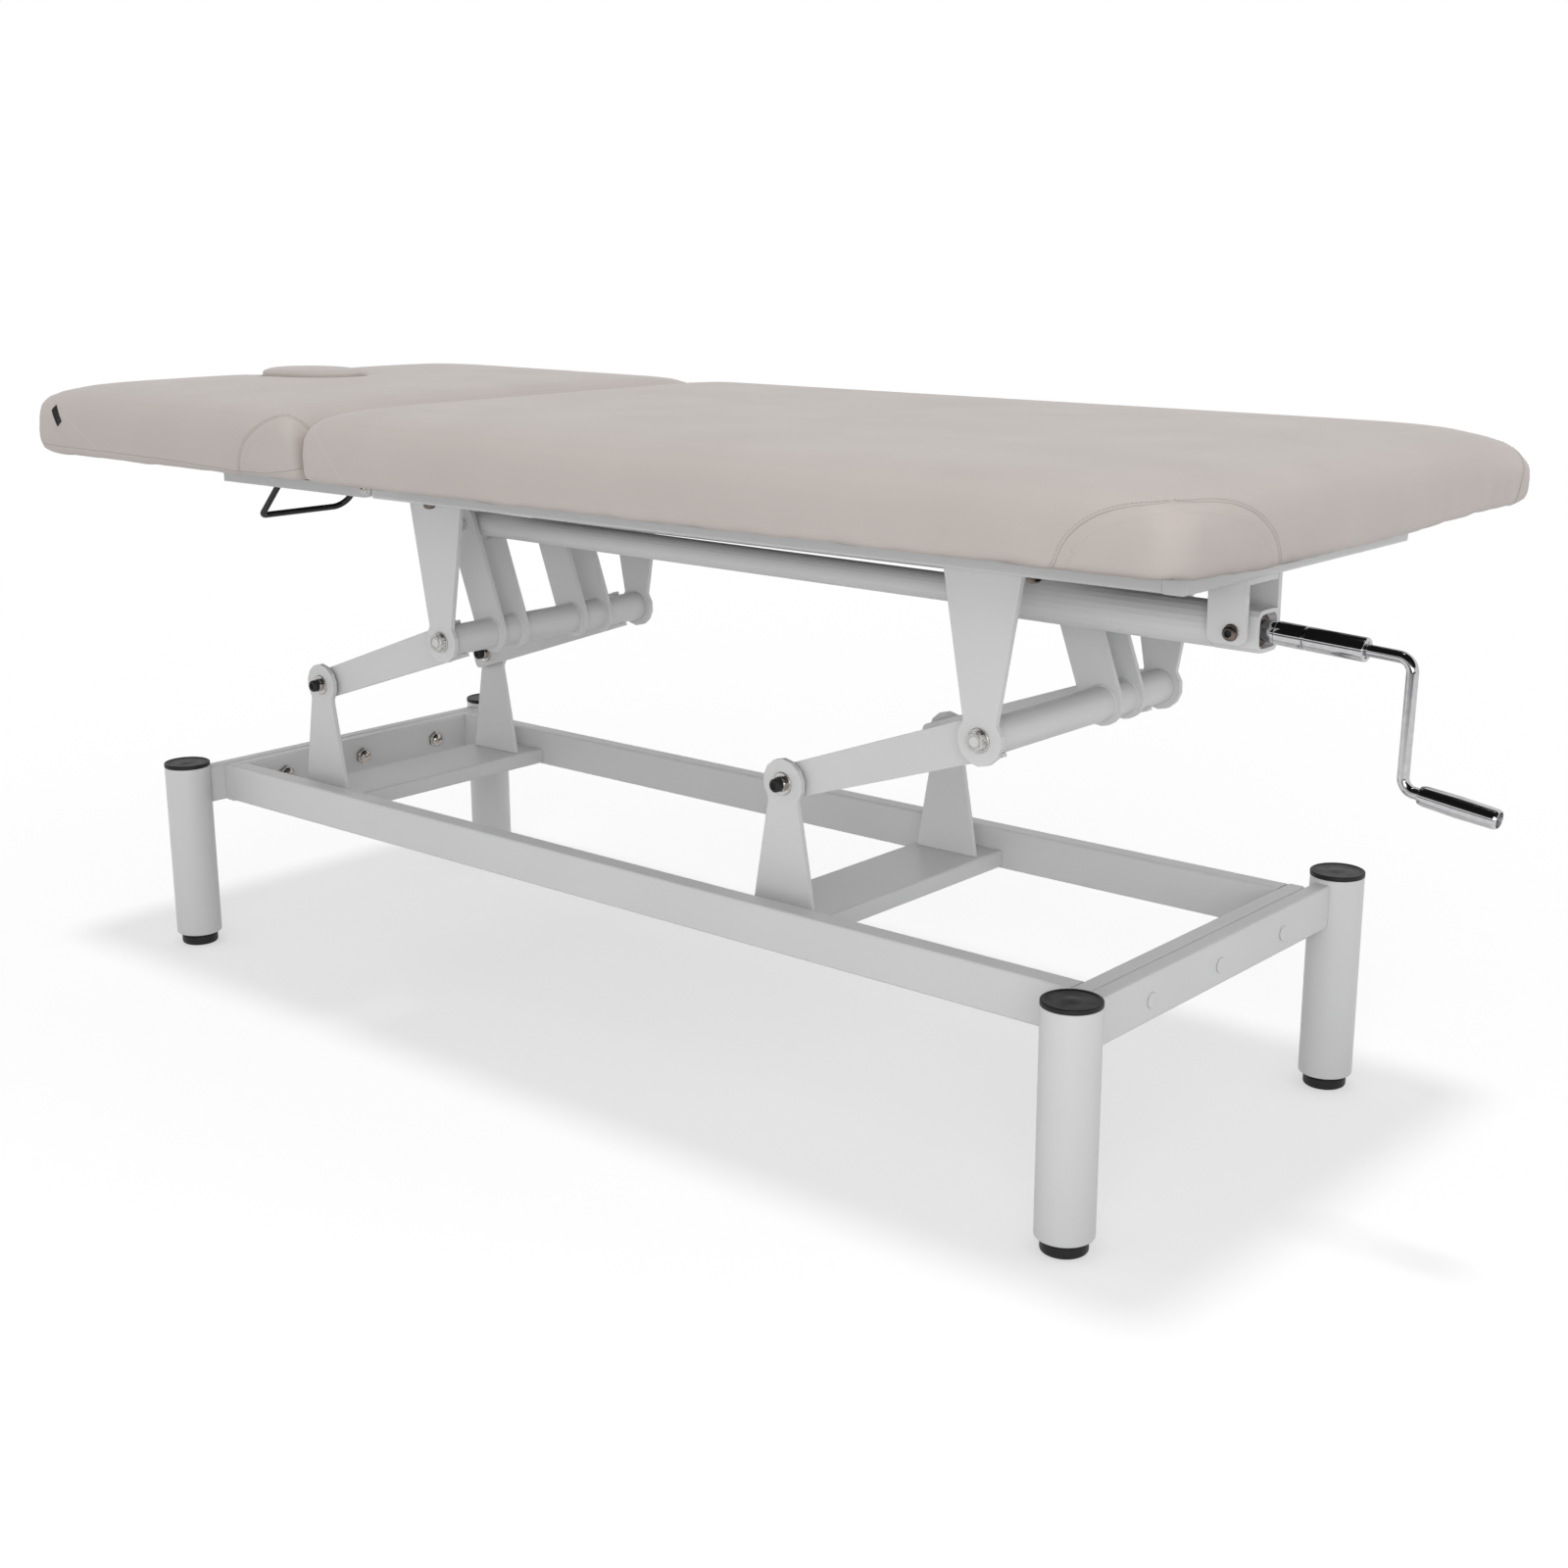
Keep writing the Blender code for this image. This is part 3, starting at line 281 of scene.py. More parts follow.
# Smooth greige upholstery cover: soft grain, sewn lines and paler unsewn folds, a little sheen
coverFinish = {
    "toneOne": (0.526, 0.474, 0.446),
    "toneTwo": (0.508, 0.457, 0.430),
    "lineTone": (0.24, 0.21, 0.19),
    "lineShare": 0.75,
    "paleTone": (0.66, 0.61, 0.58),
    "paleShare": 0.6,
    "driftScale": 9.0,
    "roughness": (0.54, 0.62),
    "sheen": {"Sheen_Weight": 0.10, "Sheen_Roughness": 0.5},
    "grain": {"Noise_Scale": 520.0, "Cell_Scale": 1150.0, "Cell_Share": 0.7},
    "grainDepth": 0.00022,
    "grainStrength": 0.30,
    "lineWidth": 0.0009,
    "valleyWidth": 0.0026,
    "valleyHeight": -3.0,
}


def coverMaterial():
    look = coverFinish
    made, tree, shader = newMaterial("greigeCover", 0.58, **look["sheen"])

    def seam(label):
        side = nodeIn(tree, "Attribute", attribute_name=label).outputs["Fac"]
        widths = {"Line_Width": look["lineWidth"], "Valley_Width": look["valleyWidth"]}
        return placed(tree, seamLine, Distance=side, **widths).outputs

    sewn, hem, pale = seam("seamSide"), seam("hemSide"), seam("paleSide")
    line, valley = (math2(tree, "MAXIMUM", sewn[label], hem[label]) for label in ("Line", "Valley"))
    tone = drifting(tree, shader, look)
    tone = mixedTone(tree, math2(tree, "MULTIPLY", line, look["lineShare"]), tone, look["lineTone"])
    tone = mixedTone(tree, math2(tree, "MULTIPLY", pale["Line"], look["paleShare"]), tone, look["paleTone"])
    tree.links.new(tone, shader.inputs["Base Color"])
    relief = placed(tree, fineRelief, **look["grain"]).outputs["Height"]
    height = math2(tree, "ADD", relief, math2(tree, "MULTIPLY", valley, look["valleyHeight"]))
    bumped(tree, shader, height, look["grainStrength"], look["grainDepth"])
    return made


# Powder coat on steel: a faint orange peel, softly rounded edges with a painted highlight, a lighter tone laid on
# them
paintFinish = {
    "toneOne": (0.680, 0.682, 0.685),
    "toneTwo": (0.658, 0.660, 0.663),
    "edgeHighlightTone": (0.76, 0.76, 0.76),
    "edgeHighlightShare": 0.5,
    "driftScale": 5.0,
    "roughness": (0.36, 0.44),
    "peel": {"Noise_Scale": 650.0, "Cell_Scale": 900.0, "Cell_Share": 0.1},
    "peelDepth": 0.00010,
    "peelStrength": 0.16,
    "edgeRadius": 0.0011,
    "gloss": 0.5,
}

# Black moulded plastic of the leg caps and feet: fine spark texture, greyer on sharp edges as a painted highlight
plasticFinish = {
    "toneOne": (0.012, 0.012, 0.0125),
    "toneTwo": (0.018, 0.018, 0.0185),
    "edgeHighlightTone": (0.035, 0.035, 0.036),
    "edgeHighlightShare": 0.7,
    "driftScale": 60.0,
    "roughness": (0.42, 0.56),
    "peel": {"Noise_Scale": 1500.0, "Cell_Scale": 2600.0, "Cell_Share": 0.5},
    "peelDepth": 0.00012,
    "peelStrength": 0.35,
    "edgeRadius": 0.0006,
    "gloss": 0.28,
}

# Black dip coat on the wire bail: smooth and satin
wireFinish = {
    "toneOne": (0.010, 0.010, 0.011),
    "toneTwo": (0.016, 0.016, 0.017),
    "edgeHighlightTone": (0.03, 0.03, 0.03),
    "edgeHighlightShare": 0.3,
    "driftScale": 90.0,
    "roughness": (0.28, 0.40),
    "peel": {"Noise_Scale": 900.0, "Cell_Scale": 1500.0, "Cell_Share": 0.1},
    "peelDepth": 0.00008,
    "peelStrength": 0.2,
    "edgeRadius": 0.0004,
    "gloss": 0.4,
}


# A coat: the edge mask lays a lighter tone on sharp edges, a painted highlight
def coated(name, look):
    made, tree, shader = newMaterial(name, 0.4, Specular_IOR_Level=look["gloss"])
    edge = placed(tree, edgeRoundAndHighlight, Radius=look["edgeRadius"]).outputs
    highlighted = math2(tree, "MULTIPLY", edge["Mask"], look["edgeHighlightShare"])
    tone = mixedTone(tree, highlighted, drifting(tree, shader, look), look["edgeHighlightTone"])
    tree.links.new(tone, shader.inputs["Base Color"])
    relief = placed(tree, fineRelief, **look["peel"]).outputs["Height"]
    bumped(tree, shader, relief, look["peelStrength"], look["peelDepth"], edge["Normal"])
    return made


# Dark laminated board under the cushions: long fibres along the table
boardFinish = {
    "toneOne": (0.030, 0.028, 0.027),
    "toneTwo": (0.052, 0.048, 0.045),
    "stretch": (6.0, 90.0, 90.0),
    "fibres": {"Scale": 3.0, "Detail": 5.0},
    "contrast": (0.35, 0.65),
    "roughness": 0.72,
    "bump": (0.3, 0.0004),
}


def boardMaterial():
    look = boardFinish
    made, tree, shader = newMaterial("darkBoard", look["roughness"])
    stretched = nodeIn(tree, "Mapping", {"Vector": objectPlace(tree), "Scale": look["stretch"]})
    links = {"Vector": stretched.outputs[0], **look["fibres"]}
    fibres = nodeIn(tree, "TexNoise", links).outputs[0]
    share = ranged(tree, fibres, *look["contrast"], 0.0, 1.0)
    tone = mixedTone(tree, share, look["toneOne"], look["toneTwo"])
    tree.links.new(tone, shader.inputs["Base Color"])
    bumped(tree, shader, fibres, *look["bump"])
    return made


# Plated metals: chrome on the crank, zinc and nickel on the fasteners, dark heads of screws
def plating(toneOne, toneTwo, roughness, grain):
    return {
        "toneOne": toneOne, "toneTwo": toneTwo, "roughness": roughness, "grain": grain,
        "driftScale": 160.0,
        "relief": {"Noise_Scale": 900.0, "Cell_Scale": 1800.0, "Cell_Share": 0.2},
        "depth": 0.0001,
        "edgeRadius": 0.0004,
    }


plateFinish = {
    "chromePlate": plating((0.56, 0.56, 0.57), (0.48, 0.48, 0.49), (0.05, 0.11), 0.04),
    "zincPlate": plating((0.62, 0.61, 0.59), (0.50, 0.48, 0.46), (0.20, 0.34), 0.15),
    "nickelNut": plating((0.50, 0.46, 0.43), (0.34, 0.30, 0.27), (0.14, 0.26), 0.08),
    "bronzeHead": plating((0.20, 0.16, 0.13), (0.12, 0.10, 0.09), (0.30, 0.45), 0.15),
}


def platedMetal(name):
    look = plateFinish[name]
    made, tree, shader = newMaterial(name, 0.2, metallic=1.0)
    tree.links.new(drifting(tree, shader, look), shader.inputs["Base Color"])
    normal = placed(tree, edgeRoundAndHighlight, Radius=look["edgeRadius"]).outputs["Normal"]
    height = placed(tree, fineRelief, **look["relief"]).outputs["Height"]
    bumped(tree, shader, height, look["grain"], look["depth"], normal)
    return made


# Twisted sewing thread, a shade darker than the cover
threadFinish = {
    "toneOne": (0.50, 0.455, 0.425),
    "toneTwo": (0.40, 0.36, 0.33),
    "twist": 1400.0,
    "roughness": 0.7,
    "sheen": 0.3,
    "bump": (0.4, 0.0001),
}


def threadMaterial():
    look = threadFinish
    made, tree, shader = newMaterial("sewingThread", look["roughness"], Sheen_Weight=look["sheen"])
    twist = nodeIn(tree, "TexWave", {"Vector": objectPlace(tree), "Scale": look["twist"]}).outputs[1]
    tree.links.new(mixedTone(tree, twist, look["toneOne"], look["toneTwo"]), shader.inputs["Base Color"])
    bumped(tree, shader, twist, *look["bump"])
    return made


paint = coated("powderCoat", paintFinish)
blackPlastic = coated("blackPlastic", plasticFinish)
blackWire = coated("blackWire", wireFinish)
cover = coverMaterial()
darkBoard = boardMaterial()
chrome = platedMetal("chromePlate")
zinc = platedMetal("zincPlate")
nickel = platedMetal("nickelNut")
bronze = platedMetal("bronzeHead")
thread = threadMaterial()
say("materials")

# Mesh helpers: every new shape is a grid of points, rows by columns, worked out as whole arrays


# Angles of evenly spaced points on a circle
def circle(count):
    return np.linspace(0, 2 * math.pi, count, endpoint=False)


def unit(vectors):
    length = np.linalg.norm(vectors, axis=-1, keepdims=True)
    return vectors / np.maximum(length, 1e-12)


# Quads between neighbouring rows and columns, closed around when asked
def gridQuads(rows, columns, around=True, along=False):
    i = np.arange(rows if along else rows - 1)[:, None]
    j = np.arange(columns if around else columns - 1)[None, :]
    nextRow = (i + 1) % rows
    nextColumn = (j + 1) % columns
    here, there = i * columns, nextRow * columns
    quads = (here + j, here + nextColumn, there + nextColumn, there + j)
    return np.stack(np.broadcast_arrays(*quads), -1).reshape(-1, 4)


def meshFrom(name, points, quads, extraFaces=()):
    mesh = bpy.data.meshes.new(name)
    mesh.vertices.add(len(points))
    mesh.vertices.foreach_set("co", np.ascontiguousarray(points, float).ravel())
    loops = np.concatenate([quads.ravel(), *[np.asarray(face) for face in extraFaces]])
    sizes = np.concatenate([np.full(len(quads), 4), [len(face) for face in extraFaces]]).astype(int)
    mesh.loops.add(len(loops))
    mesh.loops.foreach_set("vertex_index", loops.astype(np.int32))
    mesh.polygons.add(len(sizes))
    mesh.polygons.foreach_set("loop_start", np.concatenate([[0], np.cumsum(sizes)[:-1]]).astype(np.int32))
    mesh.update(calc_edges=True)
    mesh.validate()
    return mesh


# Doubled points are merged and the faces turned outwards
def tidied(mesh, doubles=1e-6):
    work = bmesh.new()
    work.from_mesh(mesh)
    bmesh.ops.remove_doubles(work, verts=work.verts, dist=doubles)
    bmesh.ops.dissolve_degenerate(work, edges=work.edges, dist=doubles)
    bmesh.ops.recalc_face_normals(work, faces=work.faces)
    work.to_mesh(mesh)
    work.free()


# A piece of one or more shells; each shell is (grid, material), closed at its ends by a point
def piece(name, shells, body, replaced=(), sharp=32):
    points, quads, looks, materials, start = [], [], [], [], 0
    for grid, look in shells:
        grid = np.asarray(grid, float)
        rows, columns = grid.shape[:2]
        if look not in materials:
            materials.append(look)
        faces = gridQuads(rows, columns) + start
        points.append(grid.reshape(-1, 3))
        quads.append(faces)
        looks.append(np.full(len(faces), materials.index(look)))
        start += rows * columns
    mesh = meshFrom(name, np.concatenate(points), np.concatenate(quads))
    for look in materials:
        mesh.materials.append(look)
    mesh.polygons.foreach_set("material_index", np.concatenate(looks).astype(np.int32))
    tidied(mesh)
    mesh.shade_smooth()
    mesh.set_sharp_from_angle(angle=math.radians(sharp))
    made = linked(name, mesh)
    if replaced:
        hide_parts(*replaced)
    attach(made, body)
    return made


# Both ends of a grid drawn in to the middle of their rows
def capped(grid):
    first = np.repeat(grid[:1].mean(1, keepdims=True), grid.shape[1], 1)
    last = np.repeat(grid[-1:].mean(1, keepdims=True), grid.shape[1], 1)
    return np.concatenate([first, grid, last])


# Half the angle at a corner above which the path counts as straight
straight = 1.55


# Corners of a path cut by arcs that touch both neighbours; an arc is a blend of its ends by sines
def roundedPath(points, radii, steps):
    points = np.asarray(points, float)
    parts = [points[:1]]
    for before, corner, after, radius in zip(points, points[1:], points[2:], radii):
        back, ahead = unit(before - corner), unit(after - corner)
        half = 0.5 * math.acos(float(np.clip(back @ ahead, -1, 1)))
        if radius == 0 or half > straight:
            parts.append(corner[None])
            continue
        reach = radius / math.tan(half)
        centre = corner + unit(back + ahead) * radius / math.sin(half)
        start, end = corner + back * reach - centre, corner + ahead * reach - centre
        sweep = math.pi - 2 * half
        share = np.linspace(0, 1, steps + 1)[:, None]
        arc = (np.sin((1 - share) * sweep) * start + np.sin(share * sweep) * end) / math.sin(sweep)
        parts.append(centre + arc)
    parts.append(points[-1:])
    return np.concatenate(parts)


# How far up an axis points before its circles start from x instead of z
upright = 0.9


# An axis and two directions that are square to it and to each other
def squareTo(axis):
    axis = unit(np.asarray(axis, float))
    helper = (0, 0, 1.0) if abs(axis[2]) < upright else (1.0, 0, 0)
    across = unit(np.cross(helper, axis))
    return axis, across, np.cross(axis, across)


# A profile of (place along the axis, radius) turned round the axis; flat rows are cut to a hexagon
def turned(profile, origin, axis, sides, hexFlat=None, spin=0.0):
    profile = np.asarray(profile, float)
    angle = circle(sides) + spin
    radius = np.repeat(profile[:, 1:2], sides, 1)
    if hexFlat is not None:
        part = math.pi / 3
        cut = hexFlat / np.cos((angle - spin + part / 2) % part - part / 2)
        radius = np.minimum(radius, cut[None, :])
    axis, across, up = squareTo(axis)
    ring = np.cos(angle)[None, :, None] * across + np.sin(angle)[None, :, None] * up
    return np.asarray(origin, float) + profile[:, 0][:, None, None] * axis + radius[:, :, None] * ring


# A turned profile with rounded corners, its radii given corner by corner
def turnedSoft(profile, radii, origin, axis, sides, steps=4, closed=False):
    flat = np.asarray(profile, float)
    path = roundedPath(np.column_stack([flat, np.zeros(len(flat))]), radii, steps)[:, :2]
    path = np.concatenate([path, path[:1]]) if closed else path
    return turned(path, origin, axis, sides)


# A round bar along a path that lies in one plane; circles stand square to the path
def swept(path, radius, planeNormal, sides):
    tangent = unit(np.gradient(path, axis=0))
    side = unit(np.cross(planeNormal, tangent))
    angle = circle(sides)[None, :, None]
    ring = np.cos(angle) * side[:, None] + np.sin(angle) * np.asarray(planeNormal, float)
    return path[:, None] + radius * ring


# Cushion covers: concentric rings follow the outline, climb the side and run on over the top.
# "side" and "facing" tell how far the surface stands in from the outline at each share of the rise
edgeShape = {
    "rise": np.array((0, 0.045, 0.16, 0.36, 0.58, 0.74, 0.85, 0.915, 0.955, 0.982, 1.0)),
    "side": np.array((10.0, 3.5, 0.8, 0.0, 1.2, 4.5, 12.5, 27.0, 52.0, 95.0, 160.0)) / 1000,
    "facing": np.array((3.5, 1.0, -0.9, -1.2, 1.8, 11.0, 24.0, 36.5, 48.0, 60.0, 86.0)) / 1000,
    "past": 0.25,
    "smoothing": 0.010,
    "fine": 0.0005,
}
sharedPlan = {"cell": 0.0046, "endCorner": 0.038, "facingCorner": 0.016}

# At the outer end the corners sink by "droop" and stand out by "stretch", which "lean" takes back
# higher up; "lift" raises the top at its low and high end, "hang" lowers the hem at the crank
mainPlan = {
    **sharedPlan,
    "node": "main_cushion",
    "facingLow": True,
    "droop": 0.0125,
    "lift": (0.0, -0.0030),
    "stretch": (0.0075, 0.0070),
    "lean": 2.2,
    "hang": 0.0056,
}
headPlan = {
    **sharedPlan,
    "node": "head_cushion",
    "facingLow": False,
    "droop": 0.0090,
    "lift": (0.0060, 0.0015),
    "stretch": (0.0, 0.0),
    "lean": 0.0,
    "hang": 0.0,
}
coverForm = {
    "cornerReach": 0.075,
    "leanReach": 0.13,
    "leastCorner": 0.022,
    "cornerShare": 4,
    "hangAlong": (0.962, 0.99),
    "hangNear": (-0.35, -0.20),
    "hangFar": (-0.27, 0.0),
}
puffing = {
    "coarse": 4,
    "frames": 20,
    "cap": 0.0035,
    "cloth": {
        "quality": 6,
        "mass": 0.3,
        "tension_stiffness": 25,
        "compression_stiffness": 25,
        "bending_stiffness": 2.0,
        "vertex_group_mass": "stapled",
        "use_pressure": True,
        "uniform_pressure_force": 4.0,
    },
}


def bellKernel(count):
    kernel = np.hanning(count + 2)[1:-1]
    return kernel / kernel.sum()


# The profile in even steps of its own length, smoothed by a running mean
def plannedRuns(plan):
    low, high = corners(plan["node"])
    height = plan.get("height", high[2] - low[2])
    rise, side, facing = edgeShape["rise"] * height, edgeShape["side"], edgeShape["facing"]
    run = np.concatenate([[0], np.cumsum(np.hypot(np.diff(rise), np.diff(side)))])
    even = np.arange(0, run[-1] + edgeShape["past"], edgeShape["fine"])
    count = int(edgeShape["smoothing"] / edgeShape["fine"])
    past = np.maximum(even - run[-1], 0)
    for label, values in (("rise", rise), ("side", side), ("facing", facing)):
        line = np.interp(even, run, values)
        line += past if label != "rise" else 0
        padded = np.pad(line, count, mode="reflect", reflect_type="odd")
        plan[label] = np.convolve(padded, bellKernel(count), "same")[count:-count]
    plan["even"] = even
    plan["low"], plan["high"], plan["half"] = low, high, high[1]
    plan["height"] = height
    inner = run[-1] - side[-1]
    four = puffing["coarse"]
    plan["ny"] = four * int(round(2 * (inner + plan["half"]) / plan["cell"] / four))
    plan["nx"] = four * int(round(2 * (inner + (high[0] - low[0]) / 2) / plan["cell"] / four))


# A smooth rise from 0 to 1 between two values
def ramp(value, start, end):
    share = np.clip((value - start) / (end - start), 0, 1)
    return share * share * (3 - 2 * share)


# Points of the cover from their places (a, b) in grid cells
def coverPoint(plan, a, b):
    form = coverForm
    nx, ny = plan["nx"], plan["ny"]
    level = np.minimum(np.minimum(a, nx - a), np.minimum(b, ny - b))
    rise, side, facing = (
        np.interp(level * plan["cell"], plan["even"], plan[label]) for label in ("rise", "side", "facing")
    )
    low = plan["low"][0] + (facing if plan["facingLow"] else side)
    high = plan["high"][0] - (side if plan["facingLow"] else facing)
    crossed = high < low
    low, high = np.where(crossed, (low + high) / 2, low), np.where(crossed, (low + high) / 2, high)
    half = np.maximum(plan["half"] - side, 0)
    shareX, shareY = (
        np.where(count - 2 * level > 0, (place - level) / np.maximum(count - 2 * level, 1e-9), 0.5)
        for count, place in ((nx, a), (ny, b))
    )
    x = low + shareX * (high - low)
    y = half * (2 * shareY - 1)
    outer = np.maximum(plan["endCorner"] - side / form["cornerShare"], form["leastCorner"])
    tight = plan["facingCorner"] + facing / form["cornerShare"]
    atFacing = shareX < 0.5 if plan["facingLow"] else shareX > 0.5
    radius = np.minimum(np.where(atFacing, tight, outer), np.minimum(half, (high - low) / 2))
    innerX = np.clip(x, low + radius, high - radius)
    innerY = np.clip(y, -half + radius, half - radius)
    offset = np.stack([x - innerX, y - innerY], -1)
    length = np.linalg.norm(offset, axis=-1)
    scale = np.where(length > radius, radius / np.maximum(length, 1e-9), 1.0)
    flat = np.stack([innerX, innerY], -1) + offset * scale[..., None]
    share = rise / plan["height"]
    alongX = (flat[..., 0] - plan["low"][0]) / (plan["high"][0] - plan["low"][0])
    acrossY = np.clip(flat[..., 1] / plan["half"], -1, 1)
    endX = plan["high"][0] if plan["facingLow"] else plan["low"][0]
    away = np.hypot(flat[..., 0] - endX, plan["half"] - np.abs(flat[..., 1]))
    drop = plan["droop"] * np.exp(-(away / form["cornerReach"]) ** 2) * share**2
    lift = np.interp(alongX, (0, 1), plan["lift"]) * share
    pull = 1 - plan["lean"] * np.exp(-(away / form["leanReach"]) ** 2) * np.clip(2 * share - 1, 0, 1)
    flat[..., 0] += plan["stretch"][0] * pull * np.clip(alongX, 0, 1) ** 2 * (0.5 + 0.5 * acrossY) ** 2
    flat[..., 1] += plan["stretch"][1] * pull * np.clip(acrossY, 0, 1) ** 2 * np.clip(alongX, 0, 1)
    acrossEnd = ramp(flat[..., 1], *form["hangNear"]) * ramp(-flat[..., 1], *form["hangFar"])
    hang = plan["hang"] * ramp(alongX, *form["hangAlong"]) * acrossEnd * (1 - share) ** 2
    return np.concatenate([flat, (plan["low"][2] + rise + lift - drop - hang)[..., None]], -1)


# The border of the grid, once round, for the flat underside
def borderLoop(nx, ny):
    index = np.arange((nx + 1) * (ny + 1)).reshape(nx + 1, ny + 1)
    return np.concatenate([index[:-1, 0], index[-1, :-1], index[:0:-1, -1], index[0, :0:-1]])


def coverMesh(name, points):
    rows, columns = points.shape[:2]
    border = borderLoop(rows - 1, columns - 1)
    return meshFrom(name, points.reshape(-1, 3), gridQuads(rows, columns, around=False), [border[::-1]])


# Cubic spline weights that spread coarse values over a fine grid without kinks
def splineWeights(fineCount, coarseCount):
    place = np.linspace(0, coarseCount, fineCount + 1)[:, None]
    away = np.abs(place - np.arange(coarseCount + 1)[None, :])
    near = 2 / 3 - away**2 + away**3 / 2
    far = np.maximum(2 - away, 0) ** 3 / 6
    weight = np.where(away < 1, near, far)
    return weight / weight.sum(1, keepdims=True)


# Cloth under pressure, held at its stapled lower edge; returns how far each coarse point moves
def puffedMoves(plan, name):
    four = puffing["coarse"]
    nx, ny = plan["nx"] // four, plan["ny"] // four
    a, b = np.meshgrid(np.arange(nx + 1) * four, np.arange(ny + 1) * four, indexing="ij")
    start = coverPoint(plan, a.astype(float), b.astype(float))
    mesh = coverMesh(name + "Sim", start)
    sim = linked(name + "Sim", mesh)
    held = sim.vertex_groups.new(name="stapled")
    held.add(borderLoop(nx, ny).tolist(), 1.0, "REPLACE")
    cloth = sim.modifiers.new("Cloth", "CLOTH")
    for label, value in puffing["cloth"].items():
        setattr(cloth.settings, label, value)
    cloth.settings.effector_weights.gravity = 0
    cloth.point_cache.frame_start = 1
    cloth.point_cache.frame_end = puffing["frames"]
    for shot in range(1, puffing["frames"] + 1):
        scene.frame_set(shot)
    shape = sim.evaluated_get(bpy.context.evaluated_depsgraph_get())
    settled = np.empty(len(mesh.vertices) * 3)
    shape.data.vertices.foreach_get("co", settled)
    scene.frame_set(1)
    bpy.data.objects.remove(sim)
    moves = settled.reshape(start.shape) - start
    length = np.linalg.norm(moves, axis=-1, keepdims=True)
    cap = puffing["cap"]
    return moves * cap * np.tanh(length / cap) / np.maximum(length, 1e-9)


# The near and the far seam at one end of a cover: |w / reach| ^ power + |h / tall| ^ power = 1,
# where w runs along the outline from the corner and h is the height on the side
def seamPair(end, alongSide, alongEnds, tall, power, sewn):
    shared = {"end": end, "alongSide": alongSide, "tall": tall, "power": power, "sewn": sewn}
    return [{**shared, "way": way, "alongEnd": alongEnd} for way, alongEnd in zip((-1, 1), alongEnds)]


mainSeams = [
    *seamPair("outer", 0.123, (0.169, 0.050), 0.0765, 2.05, True),
    *seamPair("facing", 0.095, (0.050, 0.050), 0.083, 1.08, False),
]
headSeams = [
    *seamPair("facing", 0.105, (0.046, 0.046), 0.0740, 2.3, True),
    *seamPair("outer", 0.190, (0.150, 0.150), 0.085, 1.1, False),
]
sewing = {
    "samples": 420,
    "softening": 31,
    "turnAbove": 0.4,
    "turnReach": 0.055,
    "turnMost": 0.9,
    "valley": 0.0006,
    "valleyReach": 0.0026,
    "hemShare": 0.6,
    "hemReach": 0.003,
    "farAway": 0.012,
    "exactShare": 0.9,
}

# A stitch is a short capsule: places along it, radius and dip at each place, as shares
threadForm = {
    "along": np.array((-0.5, -0.5, -0.42, -0.2, 0.2, 0.42, 0.5, 0.5)),
    "thick": np.array((0.0, 0.45, 0.85, 1.0, 1.0, 0.85, 0.45, 0.0)),
    "dip": -np.array((1, 1, 0.6, 0, 0, 0.6, 1, 1)),
    "length": 0.0030,
    "step": 0.0041,
    "radius": 0.00026,
    "offset": 0.0030,
    "sunk": 0.3,
    "sides": 6,
}


def atHighEnd(plan, seam):
    return (seam["end"] == "outer") == plan["facingLow"]


# Grid places of points w along the outline from a corner and h up the side
def seamPlace(plan, seam, w, h):
    nx, ny = plan["nx"], plan["ny"]
    climb = plan["rise"] + np.arange(len(plan["rise"])) * 1e-9
    run = np.interp(h, climb, plan["even"])
    level = run / plan["cell"]
    side = np.interp(run, plan["even"], plan["side"])
    facing = np.interp(run, plan["even"], plan["facing"])
    endInset = side if seam["end"] == "outer" else facing
    length = plan["high"][0] - plan["low"][0] - side - facing
    high = h > sewing["turnAbove"] * plan["height"]
    turnX, turnY = (
        1 - np.where(high, np.minimum(inset / sewing["turnReach"], sewing["turnMost"]), 0)
        for inset in (endInset, side)
    )
    alongX = w * turnX / length
    acrossY = -w * turnY / (2 * (plan["half"] - side))
    a = np.where(w >= 0, level + alongX * (nx - 2 * level), level)
    b = np.where(w >= 0, level, level + acrossY * (ny - 2 * level))
    a = nx - a if atHighEnd(plan, seam) else a
    b = ny - b if seam["way"] > 0 else b
    count = sewing["softening"]
    a, b = (np.pad(line, count // 2, mode="reflect", reflect_type="odd") for line in (a, b))
    return np.convolve(a, bellKernel(count), "valid"), np.convolve(b, bellKernel(count), "valid")


def seamCurve(seam):
    turn = np.linspace(0, math.pi, sewing["samples"])
    share = np.abs(np.cos(turn)) ** (2 / seam["power"])
    w = np.where(turn < math.pi / 2, seam["alongSide"], -seam["alongEnd"]) * share
    h = seam["tall"] * np.sin(turn) ** (2 / seam["power"])
    return w, h


# A value on the cover's grid read between its points, by straight lines
def between(values, a, b):
    i = np.clip(np.floor(a).astype(int), 0, values.shape[0] - 2)
    j = np.clip(np.floor(b).astype(int), 0, values.shape[1] - 2)
    u, v = (a - i)[..., None], (b - j)[..., None]
    near = values[i, j] * (1 - u) + values[i + 1, j] * u
    far = values[i, j + 1] * (1 - u) + values[i + 1, j + 1] * u
    return near * (1 - v) + far * v


def outward(points):
    return unit(np.cross(np.gradient(points, axis=0), np.gradient(points, axis=1)))


